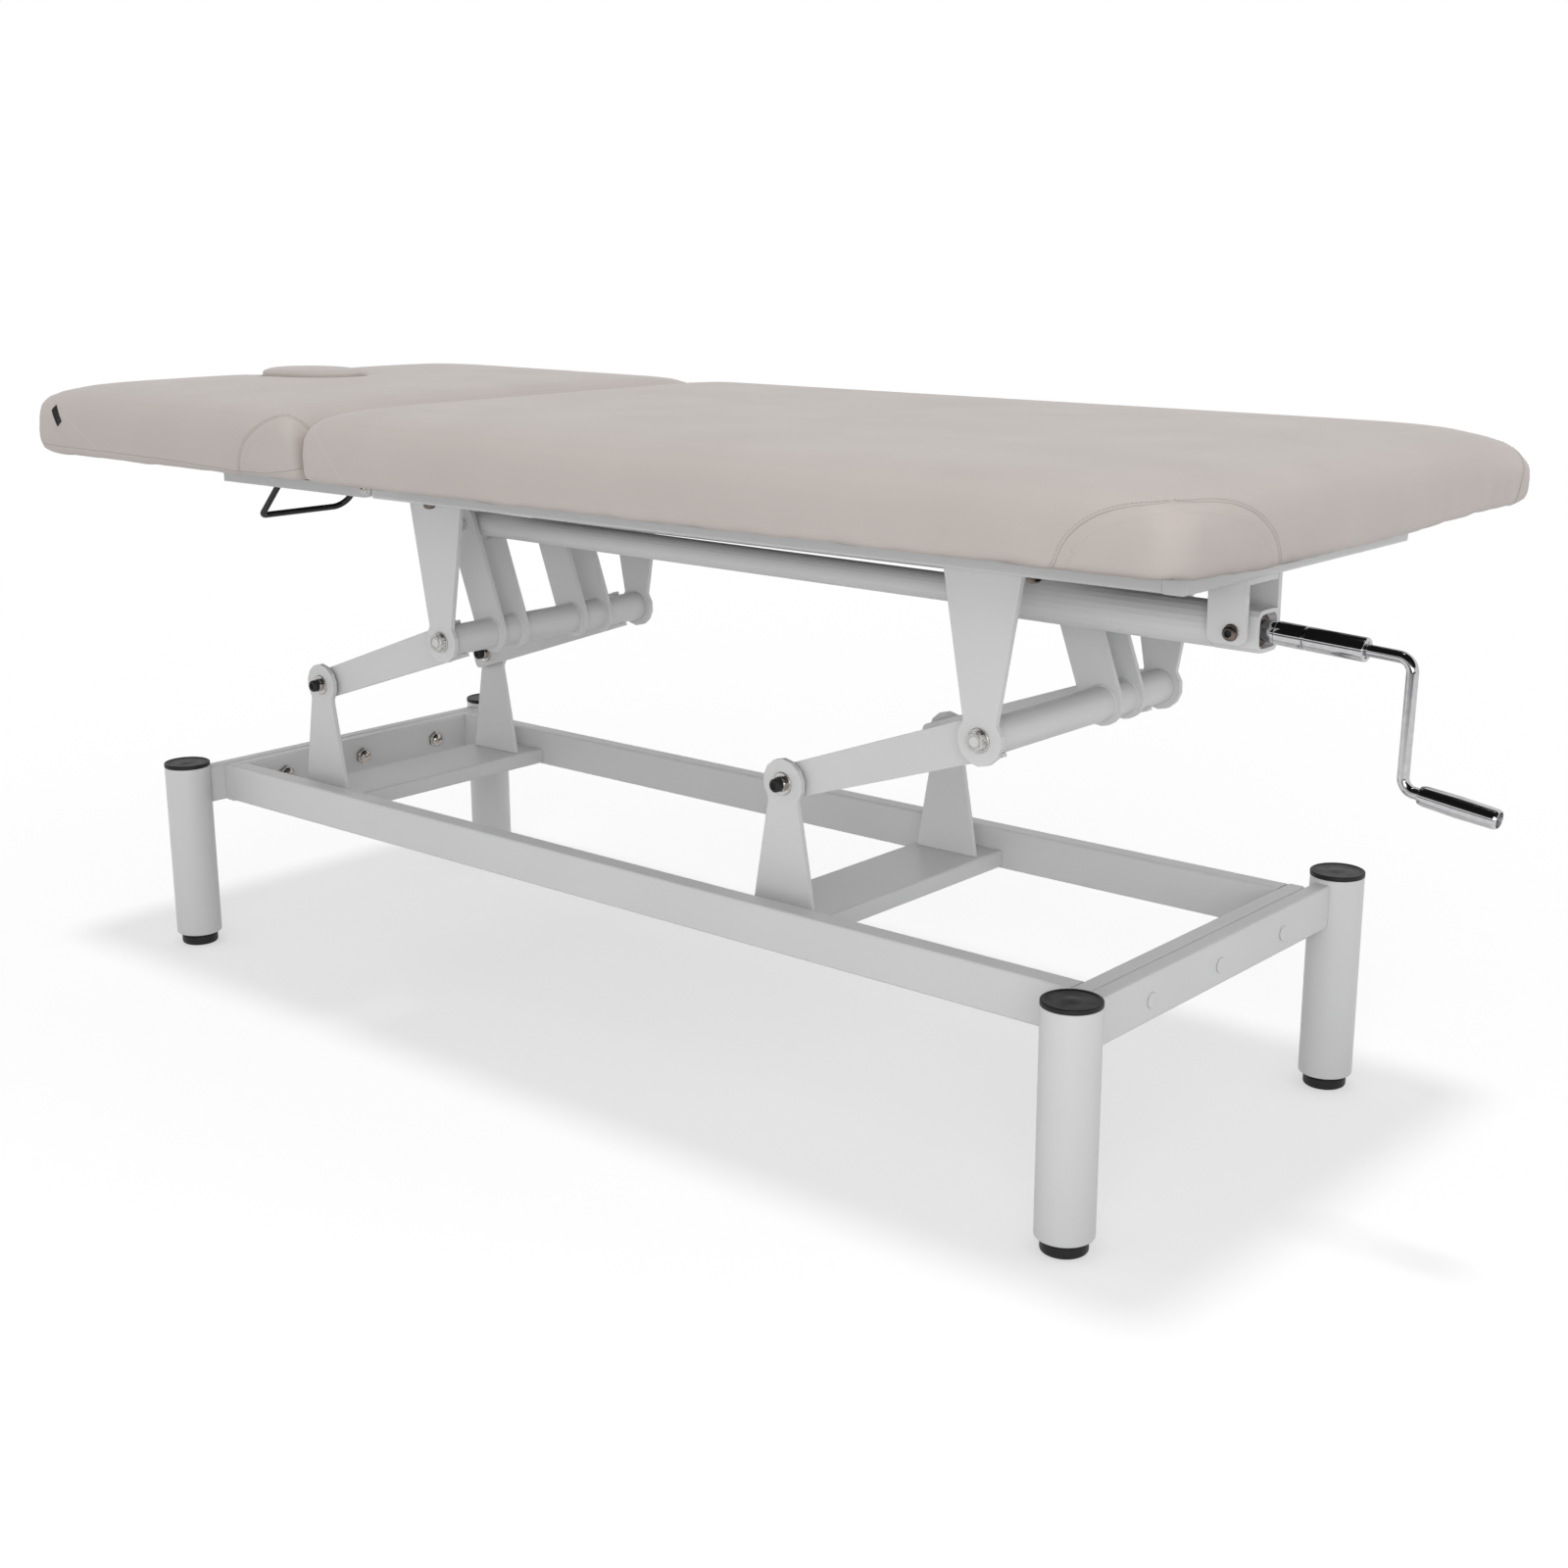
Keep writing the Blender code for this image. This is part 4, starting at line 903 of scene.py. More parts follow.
# Signed distance of each grid point to a path on the surface: below zero on the corner's side
def signedDistance(points, normals, path, reach):
    flat, flatNormals = points.reshape(-1, 3), normals.reshape(-1, 3)
    low, high = path.min(0) - reach, path.max(0) + reach
    close = np.nonzero(((flat > low) & (flat < high)).all(1))[0]
    result = np.full(len(flat), reach)
    tangent = unit(np.gradient(path, axis=0))
    gaps = ((flat[close, None] - path[None]) ** 2).sum(-1)
    nearest = gaps.argmin(1)
    offset = flat[close] - path[nearest]
    way = tangent[nearest]
    offset = offset - (offset * way).sum(1, keepdims=True) * way
    sign = np.sign((np.cross(way, offset) * flatNormals[close]).sum(1))
    away = np.minimum(np.sqrt(gaps.min(1)), reach)
    exact = np.where(away < reach * sewing["exactShare"], np.linalg.norm(offset, axis=1), away)
    result[close] = np.minimum(exact, reach) * np.where(sign == 0, 1, sign)
    return result.reshape(points.shape[:2])


# Thread laid beside a seam: stitches that follow the path
def stitchShells(path, normals, outwardSide):
    form = threadForm
    gone = np.concatenate([[0], np.cumsum(np.linalg.norm(np.diff(path, axis=0), axis=1))])
    places = np.arange(form["step"], gone[-1] - form["step"], form["step"])

    def read(values):
        return np.stack([np.interp(places, gone, values[:, k]) for k in range(3)], -1)

    tangent, normal = unit(read(np.gradient(path, axis=0))), unit(read(normals))
    across = unit(np.cross(normal, tangent)) * outwardSide
    centre = read(path) + across * form["offset"] + normal * form["radius"] * form["sunk"]
    along = (form["along"] * form["length"])[None, :, None] * tangent[:, None]
    dip = (form["dip"] * form["radius"])[None, :, None] * normal[:, None]
    thick = (form["thick"] * form["radius"])[None, :, None, None]
    angle = circle(form["sides"])[:, None]
    ring = np.cos(angle) * across[:, None, None] + np.sin(angle) * normal[:, None, None]
    return (centre[:, None] + along + dip)[:, :, None] + thick * ring


# One mesh of many like shells
def manyShells(name, shells, look, body, along=False):
    count, rows, columns = shells.shape[:3]
    one = gridQuads(rows, columns, along=along)
    quads = (one[None] + (np.arange(count) * rows * columns)[:, None, None]).reshape(-1, 4)
    mesh = meshFrom(name, shells.reshape(-1, 3), quads)
    mesh.materials.append(look)
    tidied(mesh)
    mesh.shade_smooth()
    made = linked(name, mesh)
    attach(made, body)


# Slack of the cover between its staples: shallow waves that fade out up the side
hemWaves = {
    "lengths": (0.061, 0.097, 0.173),
    "slant": 1.7,
    "depth": 0.0006,
    "deepest": 0.012,
    "fade": 0.020,
    "top": 0.06,
    "edge": 0.012,
    "lift": 0.0011,
}


def wavedHem(points, normals, rise):
    look = hemWaves
    outline = points[..., 0] + look["slant"] * points[..., 1]
    waves = sum(np.sin(2 * math.pi * outline / wave + k) for k, wave in enumerate(look["lengths"]))
    fade = np.exp(-((rise - look["deepest"]) / look["fade"]) ** 2) * (rise < look["top"])
    points = points + normals * (waves * fade * look["depth"] / 2)[..., None]
    points[..., 2] += waves * np.exp(-(rise / look["edge"]) ** 2) * look["lift"] / 2
    return points


# The face hole in the head section: an oval pocket with a soft lip, filled by the plug
pocket = {
    "long": 0.0865,
    "wide": 0.0615,
    "depth": 0.022,
    "lip": 0.007,
    "lipShift": 0.4,
    "lipSlope": 0.45,
    "lipDrop": 0.0035,
    "lipReach": 0.016,
    "lipPower": 1.3,
    "above": 0.7,
}


def ovalDistance(points, centre, long, wide):
    u, v = (points[..., 0] - centre[0]) / long, (points[..., 1] - centre[1]) / wide
    radius = np.hypot(u, v)
    slope = np.hypot(u / long, v / wide) / np.maximum(radius, 1e-9)
    return (radius - 1) / np.maximum(slope, 1e-6)


def pressPocket(points, centre, onTop):
    look = pocket
    gap = ovalDistance(points, centre, look["long"], look["wide"])
    inside = 0.5 - 0.5 * np.tanh((gap + look["lip"] * look["lipShift"]) / (look["lip"] * look["lipSlope"]))
    lip = look["lipDrop"] * np.exp(-(np.maximum(gap, 0) / look["lipReach"]) ** look["lipPower"])
    points[..., 2] -= np.where(onTop, inside * look["depth"] + lip * (1 - inside), 0)


# Distances to the sewn and the pale seams, and the stitches of the sewn ones
def seamSides(plan, points, normals, seams):
    sides = {label: np.full(points.shape[:2], sewing["farAway"]) for label in coverLayers}
    stitches = []
    for seam in seams:
        placeA, placeB = seamPlace(plan, seam, *seamCurve(seam))
        path = between(points, placeA, placeB)
        flip = 1 if atHighEnd(plan, seam) == (seam["way"] < 0) else -1
        gap = signedDistance(points, normals, path, sewing["farAway"]) * flip
        label = "seamSide" if seam["sewn"] else "paleSide"
        sides[label] = np.where(np.abs(gap) < np.abs(sides[label]), gap, sides[label])
        if seam["sewn"]:
            stitches.append(stitchShells(path, unit(between(normals, placeA, placeB)), flip))
    return sides, np.concatenate(stitches)


coverLayers = ("seamSide", "hemSide", "paleSide")


def floatLayer(mesh, label, values):
    layer = mesh.attributes.new(label, "FLOAT", "POINT")
    layer.data.foreach_set("value", values.ravel().astype(np.float32))


def makeCover(name, plan, seams, body, replaced, hem=None, hole=None):
    plannedRuns(plan)
    nx, ny = plan["nx"], plan["ny"]
    a, b = np.meshgrid(np.arange(nx + 1.0), np.arange(ny + 1.0), indexing="ij")
    points = coverPoint(plan, a, b)
    moves = puffedMoves(plan, name)
    spreadX = splineWeights(nx, moves.shape[0] - 1)
    spreadY = splineWeights(ny, moves.shape[1] - 1)
    points = points + np.einsum("ik,klc,jl->ijc", spreadX, moves, spreadY)
    normals = outward(points)
    rise = points[..., 2] - plan["low"][2]
    points = wavedHem(points, normals, rise)
    if hole is not None:
        pressPocket(points, hole, rise > plan["height"] * pocket["above"])
    sides, stitches = seamSides(plan, points, normals, seams)
    if hem is not None:
        share = (points[..., 0] - plan["low"][0]) / (plan["high"][0] - plan["low"][0])
        line = np.interp(share, hem["share"], hem["rise"])
        sides["hemSide"] = np.clip(rise - line, -sewing["farAway"], sewing["farAway"])
    valley = np.exp(-(sides["seamSide"] / sewing["valleyReach"]) ** 2)
    valley += sewing["hemShare"] * np.exp(-(sides["hemSide"] / sewing["hemReach"]) ** 2)
    points = points - normals * (sewing["valley"] * valley)[..., None]
    mesh = coverMesh(name, points)
    for label in coverLayers:
        floatLayer(mesh, label, sides[label])
    mesh.materials.append(cover)
    mesh.shade_smooth()
    mesh.set_sharp_from_angle(angle=math.radians(60))
    made = linked(name, mesh)
    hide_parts(*replaced)
    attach(made, body)
    manyShells(name + "_stitches", stitches, thread, body)
    return points


# Height of the head cover's hem fold along the section
headHem = {
    "share": (0.0, 0.05, 0.2, 0.5, 0.8, 0.9, 0.97, 1.0),
    "rise": (0.0125, 0.0115, 0.010, 0.009, 0.0045, 0.0045, 0.010, 0.014),
}
headPlan["height"] = corners("main_cushion")[1][2] - corners("main_cushion")[0][2]
makeCover("main_cover", mainPlan, mainSeams, "top_frame", ("main_cushion",))
say("main cover")
hole = middle("face_plug")[:2]
headPoints = makeCover("head_cover", headPlan, headSeams, "head_section", ("head_cushion",), headHem, hole)
say("head cover")

# A plain dark tag with a raised border, laid on the side of the head cover: its place (x, z) is
# carried to the cover by the mean of the nearest points, weighted by the inverse square of distance
bareTag = {
    "middle": (-0.8861, 0.7228),
    "along": (0.5969, -0.8023),
    "half": (0.0128, 0.0058),
    "corner": 0.0010,
    "sides": 96,
    "shares": (0.0, 0.5, 0.74, 0.80, 0.95, 1.0, 1.0, 0.0),
    "proud": (0.0007, 0.0007, 0.0007, 0.0012, 0.0012, 0.0008, -0.0006, -0.0006),
    "reach": 0.03,
    "facing": -0.3,
    "nearest": 1e-7,
}


def makeTag(points):
    look = bareTag
    flat, normals = points.reshape(-1, 3), outward(points).reshape(-1, 3)
    centre, along = np.array(look["middle"]), np.array(look["along"])
    across = np.array((-along[1], along[0]))
    close = (np.abs(flat[:, (0, 2)] - centre) < look["reach"]).all(1)
    close &= (flat[:, 1] < 0) & (normals[:, 1] < look["facing"])
    flat, normals = flat[close], normals[close]
    corner, half = look["corner"], np.array(look["half"])
    angle = circle(look["sides"])
    way = np.stack([np.cos(angle), np.sin(angle)], -1)
    edge = way / np.max(np.abs(way) / half, axis=1, keepdims=True)
    inner = np.clip(edge, corner - half, half - corner)
    ring = inner + unit(edge - inner) * corner
    rows = []
    for share, proud in zip(look["shares"], look["proud"]):
        place = centre + share * (ring[:, :1] * along + ring[:, 1:] * across)
        gaps = ((flat[None][..., (0, 2)] - place[:, None]) ** 2).sum(-1)
        weight = 1 / (gaps + look["nearest"]) ** 2
        weight /= weight.sum(1, keepdims=True)
        level = weight @ flat[:, 1]
        rows.append(np.column_stack([place[:, 0], level, place[:, 1]]) + unit(weight @ normals) * proud)
    piece("head_tag", [(np.stack(rows), blackPlastic)], "head_section", sharp=50)


makeTag(headPoints)
say("tag")

# The plug: an oval pad with rolled edges, crowned and a little proud of the cover
plugShape = {
    "shares": (0.0, 0.90, 0.97, 0.99, 0.985, 0.97, 0.925, 0.85, 0.74, 0.58, 0.38, 0.18, 0.0),
    "rise": (0.0, 0.0, 0.006, 0.02, 0.70, 0.80, 0.87, 0.915, 0.95, 0.975, 0.992, 1.0, 1.0),
    "rows": 56,
    "smoothing": 5,
    "sides": 96,
    "under": 0.030,
    "lift": 0.0035,
    "seamShare": 0.90,
    "seamWidth": 0.02,
    "seamAbove": 0.85,
    "seamDrop": 0.0016,
}


def makePlug():
    look = plugShape
    low, high = corners("face_plug")
    size, centre = (high - low) / 2, (high + low) / 2
    dense = np.linspace(0, 1, look["rows"])
    known = np.linspace(0, 1, len(look["shares"]))
    kernel = np.ones(look["smoothing"]) / look["smoothing"]
    held = look["smoothing"] // 2
    lines = []
    for label in ("shares", "rise"):
        line = np.interp(dense, known, look[label])
        line[held:-held] = np.convolve(line, kernel, "same")[held:-held]
        lines.append(line[:, None])
    shares, rise = lines
    angle = circle(look["sides"])
    bottom = high[2] + look["lift"] - look["under"]
    seam = np.exp(-(((shares - look["seamShare"]) / look["seamWidth"]) ** 2)) * (rise > look["seamAbove"])
    grid = np.empty((look["rows"], look["sides"], 3))
    grid[..., 0] = centre[0] + size[0] * shares * np.cos(angle)
    grid[..., 1] = centre[1] + size[1] * shares * np.sin(angle)
    grid[..., 2] = bottom + rise * look["under"] - seam * look["seamDrop"]
    made = piece("plug_cover", [(grid, cover)], "head_section", ("face_plug",), sharp=70)
    for label in coverLayers:
        floatLayer(made.data, label, np.full(len(made.data.vertices), sewing["farAway"]))


makePlug()
say("plug")

# Leg tubes, caps and feet; "rounds" are the radii of a profile's corners
legShape = {"wall": 0.002, "rounds": (0.0022, 0.0004), "sides": 72}
capShape = {
    "over": 0.0003,
    "seat": 0.0002,
    "loose": 0.0006,
    "deep": 0.008,
    "rim": 0.0030,
    "slope": 0.001,
    "dish": 0.0009,
    "dishShare": 0.42,
    "domeShare": 0.12,
    "rounds": (0, 0.0003, 0.0013, 0.0007, 0.0005, 0.01, 0.01),
}
footShape = {
    "radius": 0.024,
    "shorter": 0.0034,
    "gap": 0.0002,
    "waist": 0.0010,
    "groove": (0.0035, 0.0030, 0.0014),
    "deep": 0.008,
    "taper": 0.001,
    "rounds": (0.0032, 0.0006, 0.0003, 0.0003, 0.0003, 0.0004),
}


def makeLegs():
    leg, cap, foot = legShape, capShape, footShape
    for tail in ("near_left", "near_right", "far_left", "far_right"):
        low, high = corners("leg_" + tail)
        x, y = middle("leg_" + tail)[:2]
        radius = (high[0] - low[0]) / 2
        wall = radius - leg["wall"]
        lowest = low[2] + foot["shorter"]
        tube = [(lowest, wall), (lowest, radius), (high[2], radius), (high[2], wall)]
        outer, inner = radius + cap["over"], wall - cap["loose"]
        rim = outer - cap["rim"]
        seat, top = high[2] + cap["seat"], corners("leg_cap_" + tail)[1][2]
        dish = top - cap["dish"]
        shell = [
            (seat - cap["deep"], inner), (seat, inner), (seat, outer), (top, outer), (top, rim),
            (dish, rim - cap["slope"]), (dish, rim * cap["dishShare"]),
            (top, rim * cap["domeShare"]), (top, 0.0),
        ]
        under, wide = lowest - foot["gap"], foot["radius"]
        neck = wide - foot["waist"]
        lower, floor, upper = (under - depth for depth in foot["groove"])
        glide = [
            (0.0, 0.0), (0.0, wide), (lower, wide), (floor, neck), (upper, neck), (upper, wide),
            (under, wide), (under + foot["deep"], wide - foot["taper"]),
        ]
        parts = (
            ("leg_tube_", tube, leg["rounds"], paint, "paint", "leg_"),
            ("leg_cap_shell_", shell, cap["rounds"], blackPlastic, "black_plastic", "leg_cap_"),
            ("foot_glide_", glide, foot["rounds"], blackPlastic, "black_plastic", "foot_"),
        )
        for name, profile, rounds, look, slotName, node in parts:
            grid = turnedSoft(profile, rounds, (x, y, 0), (0, 0, 1), leg["sides"])
            piece(name + tail, [(capped(grid), look)], "base", (node + tail,))


makeLegs()
say("legs")

# Bolts, nuts and screws; a profile is a row of (place along the axis, radius)
alongY = (0, 1, 0)
nearAndFar = (("near", -1), ("far", 1))
ends = (("left", -1), ("right", 1))

# The tip, nut and washer are measured from the bolt's near end, the head from its far end
pivotBolt = {
    "tip": (
        (0.0018, 0.0), (0.0018, 0.0034), (0.0, 0.0040), (0.0, 0.0066),
        (0.0012, 0.0076), (0.0105, 0.0078), (0.0120, 0.0078),
    ),
    "collar": ((0.0075, 0.0), (0.0075, 0.0079), (0.0084, 0.0094), (0.0120, 0.0094), (0.0120, 0.0)),
    "washer": ((0.0120, 0.0), (0.0120, 0.0124), (0.0124, 0.0130), (0.0140, 0.0130), (0.0140, 0.0)),
    "farWasher": ((-0.0100, 0.0), (-0.0100, 0.0130), (-0.0083, 0.0130), (-0.0080, 0.0125), (-0.0080, 0.0)),
    "head": ((-0.0080, 0.0), (-0.0080, 0.0094), (-0.0012, 0.0094), (0.0, 0.0080), (0.0, 0.0)),
    "shankInsets": (0.0135, 0.0080),
    "shankRadius": 0.0058,
    "flat": 0.0083,
    "nutSpin": 0.3,
    "headSpin": 0.1,
    "sides": 48,
}


def makeLowerBolts(row, side):
    look = pivotBolt
    node = "lower_pivot_bolt_" + row + "_" + side
    centre, (low, high) = middle(node), corners(node)
    start, end = (np.array((centre[0], y, centre[2])) for y in (low[1], high[1]))
    first, last = look["shankInsets"][0], high[1] - low[1] - look["shankInsets"][1]
    shank = [(first, 0.0), (first, look["shankRadius"]), (last, look["shankRadius"]), (last, 0.0)]
    rings = (
        (look["tip"], start, blackPlastic, None, look["nutSpin"]),
        (look["collar"], start, nickel, look["flat"], look["nutSpin"]),
        (look["washer"], start, zinc, None, 0.0),
        (shank, start, zinc, None, 0.0),
        (look["farWasher"], end, zinc, None, 0.0),
        (look["head"], end, zinc, look["flat"], look["headSpin"]),
    )
    shells = [
        (turned(profile, at, alongY, look["sides"], hexFlat=flat, spin=spin), metal)
        for profile, at, metal, flat, spin in rings
    ]
    piece("pivot_bolt_" + row + "_" + side, shells, "base", (node,))


# Hex head with a recessed middle on its washer, over the plain head of the lug's screw
hexScrew = {
    "washer": ((0.0, 0.0), (0.0, 0.0131), (0.0018, 0.0131), (0.0022, 0.0125), (0.0022, 0.0)),
    "head": (
        (0.0021, 0.0), (0.0021, 0.0112), (0.0030, 0.0114), (0.0033, 0.0106), (0.0078, 0.0104),
        (0.0093, 0.0090), (0.0093, 0.0056), (0.0078, 0.0046), (0.0078, 0.0),
    ),
    "height": 0.009,
    "flat": 0.0097,
    "spin": 0.25,
    "sides": 48,
}


def makeUpperScrews(row, side, way):
    look = hexScrew
    low, high = corners("upper_lug_" + row + "_" + side)
    face = (high[1] if way > 0 else abs(low[1])) - look["height"]
    centre = middle(row + "_torque_tube")
    at = (centre[0], way * face, centre[2])
    shells = []
    for part, flat, spin in (("washer", None, 0.0), ("head", look["flat"], look["spin"])):
        profile = [(way * place, radius) for place, radius in look[part]]
        shells.append((turned(profile, at, alongY, look["sides"], hexFlat=flat, spin=spin), zinc))
    piece("pivot_screw_" + row + "_" + side, shells, "top_frame")


domeNut = {
    "base": (
        (-0.0002, 0.0), (-0.0002, 0.0120), (0.0006, 0.0120), (0.0008, 0.0118),
        (0.0046, 0.0118), (0.0058, 0.0098), (0.0058, 0.0),
    ),
    "flat": 0.0105,
    "spin": 0.4,
    "sides": 48,
    "height": 0.0056,
    "dome": 0.0094,
    "domeRise": 0.0071,
    "domeSteps": 9,
    "domeSides": 40,
    "inset": 0.0203,
    "lower": 0.0018,
}


# The three bolts of an end rail: at its middle and halfway to the legs
def boltPlaces(end):
    step = 0.5 * middle("leg_far_" + end)[1]
    return (-step, 0.0, step)


def makeEndNuts(end, way):
    look = domeNut
    height, radius, rise = look["height"], look["dome"], look["domeRise"]
    dome = [(height, 0.0), (height, radius)]
    for turn in np.linspace(0, math.pi / 2, look["domeSteps"])[1:]:
        dome.append((height + rise * math.sin(turn), radius * math.cos(turn)))
    low, high = corners("end_rail_" + end)
    face = (low[0] if way > 0 else high[0]) - way * look["inset"]
    level = (low[2] + high[2]) / 2 - look["lower"]
    shells = []
    for y in boltPlaces(end):
        at, axis, spin = (face, y, level), (-way, 0, 0), look["spin"] * y
        base = turned(look["base"], at, axis, look["sides"], hexFlat=look["flat"], spin=spin)
        shells += [(base, nickel), (turned(dome, at, axis, look["domeSides"]), nickel)]
    piece("dome_nuts_" + end, shells, "base")


for row in ("front", "rear"):
    for side, way in nearAndFar:
        makeLowerBolts(row, side)
for row in ("front", "rear"):
    for side, way in nearAndFar:
        makeUpperScrews(row, side, way)
for end, way in ends:
    makeEndNuts(end, way)
say("bolts")

# Release bail: one bent wire in a slanted plane
bailShape = {
    "cadRadius": 0.0035,
    "radius": 0.0040,
    "nearY": -0.205,
    "farY": -0.070,
    "bends": (0.006, 0.0062, 0.020, 0.006),
    "bendSteps": 12,
    "sides": 24,
}


def makeBail():
    look = bailShape
    low, high = corners("release_bail")
    inset = look["cadRadius"]
    pivot = np.array((high[0] - inset, 0, high[2] - inset))
    bottom = np.array((low[0] + inset, 0, low[2] + inset))
    near, far, end = (np.array((0, y, 0)) for y in (look["nearY"], look["farY"], high[1]))
    path = [pivot - end, pivot + near, bottom + near, bottom + far, pivot + far, pivot + end]
    line = roundedPath(path, look["bends"], look["bendSteps"])
    normal = unit(np.cross(alongY, bottom - pivot))
    grid = capped(swept(line, look["radius"], normal, look["sides"]))
    piece("release_wire", [(grid, blackWire)], "bail", ("release_bail",), sharp=50)


makeBail()
say("bail")

# Crank: collar and sleeves, a bent rod and a turning grip. They hang a little lower than the
# jack's axis, as in the photograph: turned down by "sag" about the spot "sagAt" on that axis
crankShape = {
    "sleeves": (
        (-0.006, 0.0), (-0.006, 0.0066), (0.0122, 0.0066), (0.0122, 0.0105), (0.0304, 0.0105),
        (0.0304, 0.0115), (0.0599, 0.0115), (0.0599, 0.0095), (0.0619, 0.0095), (0.0619, 0.0115),
        (0.1214, 0.0115), (0.1214, 0.0082), (0.1194, 0.0074), (0.1194, 0.0),
    ),
    "sleeveRounds": (0, 0.0003, 0.001, 0, 0.001, 0.0006, 0.0002, 0.0002, 0.0006, 0.0012, 0.0004, 0.0002),
    "sleeveEnd": 0.1214,
    "screw": (
        (-0.0004, 0.0), (-0.0004, 0.0016), (0.0004, 0.0022),
        (0.0026, 0.0024), (0.0026, 0.0034), (0.0, 0.0036),
    ),
    "screwAlong": 0.078,
    "screwOut": 0.0093,
    "screwSides": 24,
    "sag": 0.0519,
    "sagAt": 0.0122,
    "rodRadius": 0.00575,
    "rodHidden": 0.004,
    "rodStraight": 0.007,
    "rodReach": 0.045,
    "rodDrop": 0.0002,
    "rodLength": 0.0878,
    "rodSides": 32,
    "armLength": 0.121,
    "armSplay": 0.0014,
    "bend": 0.0135,
    "bendSteps": 14,
    "droop": 0.13265,
    "grip": (
        (0.0, 0.0062), (0.0, 0.0085), (0.004, 0.0097), (0.038, 0.0104), (0.073, 0.0097),
        (0.076, 0.0083), (0.076, 0.0074), (0.0705, 0.0070), (0.0705, 0.0060), (0.002, 0.0060),
    ),
    "gripRounds": (0.0006, 0.006, 0.15, 0.006, 0.0008, 0.0004, 0.0002, 0.0002),
    "gripStart": 0.0178,
    "gripSteps": 6,
    "sides": 40,
}


def crankLine():
    return jointAt("crank_turn"), -unit(np.array(joints["crank_turn"]["axis"], float))


def makeCrank():
    look = crankShape
    origin, axis = crankLine()
    sag = look["sag"]
    down = np.array((axis[2], 0, -axis[0]))
    pivot = origin + axis * look["sagAt"]
    axis = axis * math.cos(sag) + down * math.sin(sag)
    down = np.array((axis[2], 0, -axis[0]))
    origin = pivot - axis * look["sagAt"]

    def at(along, drop):
        return origin + axis * along + down * drop

    end, arm = look["sleeveEnd"], look["armLength"]
    bent = end + look["rodReach"]
    lower = at(bent + math.sin(sag) * arm - look["armSplay"], look["rodDrop"] + arm)
    droop = look["droop"] - sag
    out = axis * math.cos(droop) + down * math.sin(droop)
    path = [
        at(end - look["rodHidden"], 0), at(end + look["rodStraight"], 0), at(bent, look["rodDrop"]),
        lower, lower + out * look["rodLength"],
    ]
    line = roundedPath(path, (0.0, look["bend"], look["bend"]), look["bendSteps"])
    screwAt = at(look["screwAlong"], 0) + (0, look["screwOut"], 0)
    shells = [
        (turnedSoft(look["sleeves"], look["sleeveRounds"], origin, axis, look["sides"]), chrome),
        (capped(swept(line, look["rodRadius"], alongY, look["rodSides"])), chrome),
        (turned(look["screw"], screwAt, alongY, look["screwSides"]), bronze),
    ]
    piece("crank_rod", shells, "crank", ("crank_arm",), sharp=38)
    base = lower + out * look["gripStart"]
    grip = turnedSoft(
        look["grip"], look["gripRounds"], base, out, look["sides"], look["gripSteps"], closed=True
    )
    piece("crank_handle", [(grip, chrome)], "grip", ("crank_grip",), sharp=38)


makeCrank()
say("crank")

# The open mouths of the end members are welded shut with thin plates, flush with the rails
closing = {
    "bodies": {"end_member_left": "base", "end_member_right": "base", "crank_end_member": "top_frame"},
    "width": 0.020,
    "thick": 0.0005,
    "proud": 0.0003,
    "inset": 0.0001,
    "corner": 0.0030,
    "cornerSteps": 5,
}


# A thin plate square to y: rounded rectangles in x and z, drawn in to a point on both faces
def plateGrid(centre, half, thick, corner, steps):
    angle = np.linspace(0, math.pi / 2, steps)
    arc = np.stack([np.cos(angle), np.sin(angle)], -1) * corner + (half - corner)
    signs = ((1, 1), (-1, 1), (-1, -1), (1, -1))
    ring = np.concatenate([(arc if k % 2 == 0 else arc[::-1]) * sign for k, sign in enumerate(signs)])
    flat = np.stack([ring[:, 0], np.zeros(len(ring)), ring[:, 1]], -1)
    faces = [(share, side * thick) for side in (1, -1) for share in (0.0, 0.5, 1.0)[::side]]
    return np.stack([centre + share * flat + (0, height, 0) for share, height in faces])


def makeClosingPlates():
    look = closing
    for node, body in look["bodies"].items():
        low, high = corners(node)
        if node == "end_member_right":
            low[0] = high[0] - look["width"]
        if node == "end_member_left":
            high[0] = low[0] + look["width"]
        centre, half = (low + high) / 2, (high - low)[[0, 2]] / 2 - look["inset"]
        shells = []
        for way, edge in ((-1, low[1]), (1, high[1])):
            at = np.array((centre[0], edge + way * (look["proud"] - look["thick"]), centre[2]))
            grid = plateGrid(at, half, way * look["thick"], look["corner"], look["cornerSteps"])
            shells.append((grid, paint))
        piece(node + "_plates", shells, body)


# Flat round covers over the bolts of the end rails
coverDisc = {
    "profile": (
        (-0.0004, 0.0), (-0.0004, 0.0082), (0.0005, 0.0082),
        (0.0010, 0.0076), (0.0008, 0.0041), (0.0008, 0.0),
    ),
    "lower": 0.0030,
    "sides": 44,
}


def makeEndDiscs(end, way):
    look = coverDisc
    low, high = corners("end_rail_" + end)
    face, level = (high[0] if way > 0 else low[0]), (low[2] + high[2]) / 2 - look["lower"]
    shells = [
        (turned(look["profile"], (face, y, level), (way, 0, 0), look["sides"]), paint)
        for y in boltPlaces(end)
    ]
    piece("bolt_covers_" + end, shells, "base")
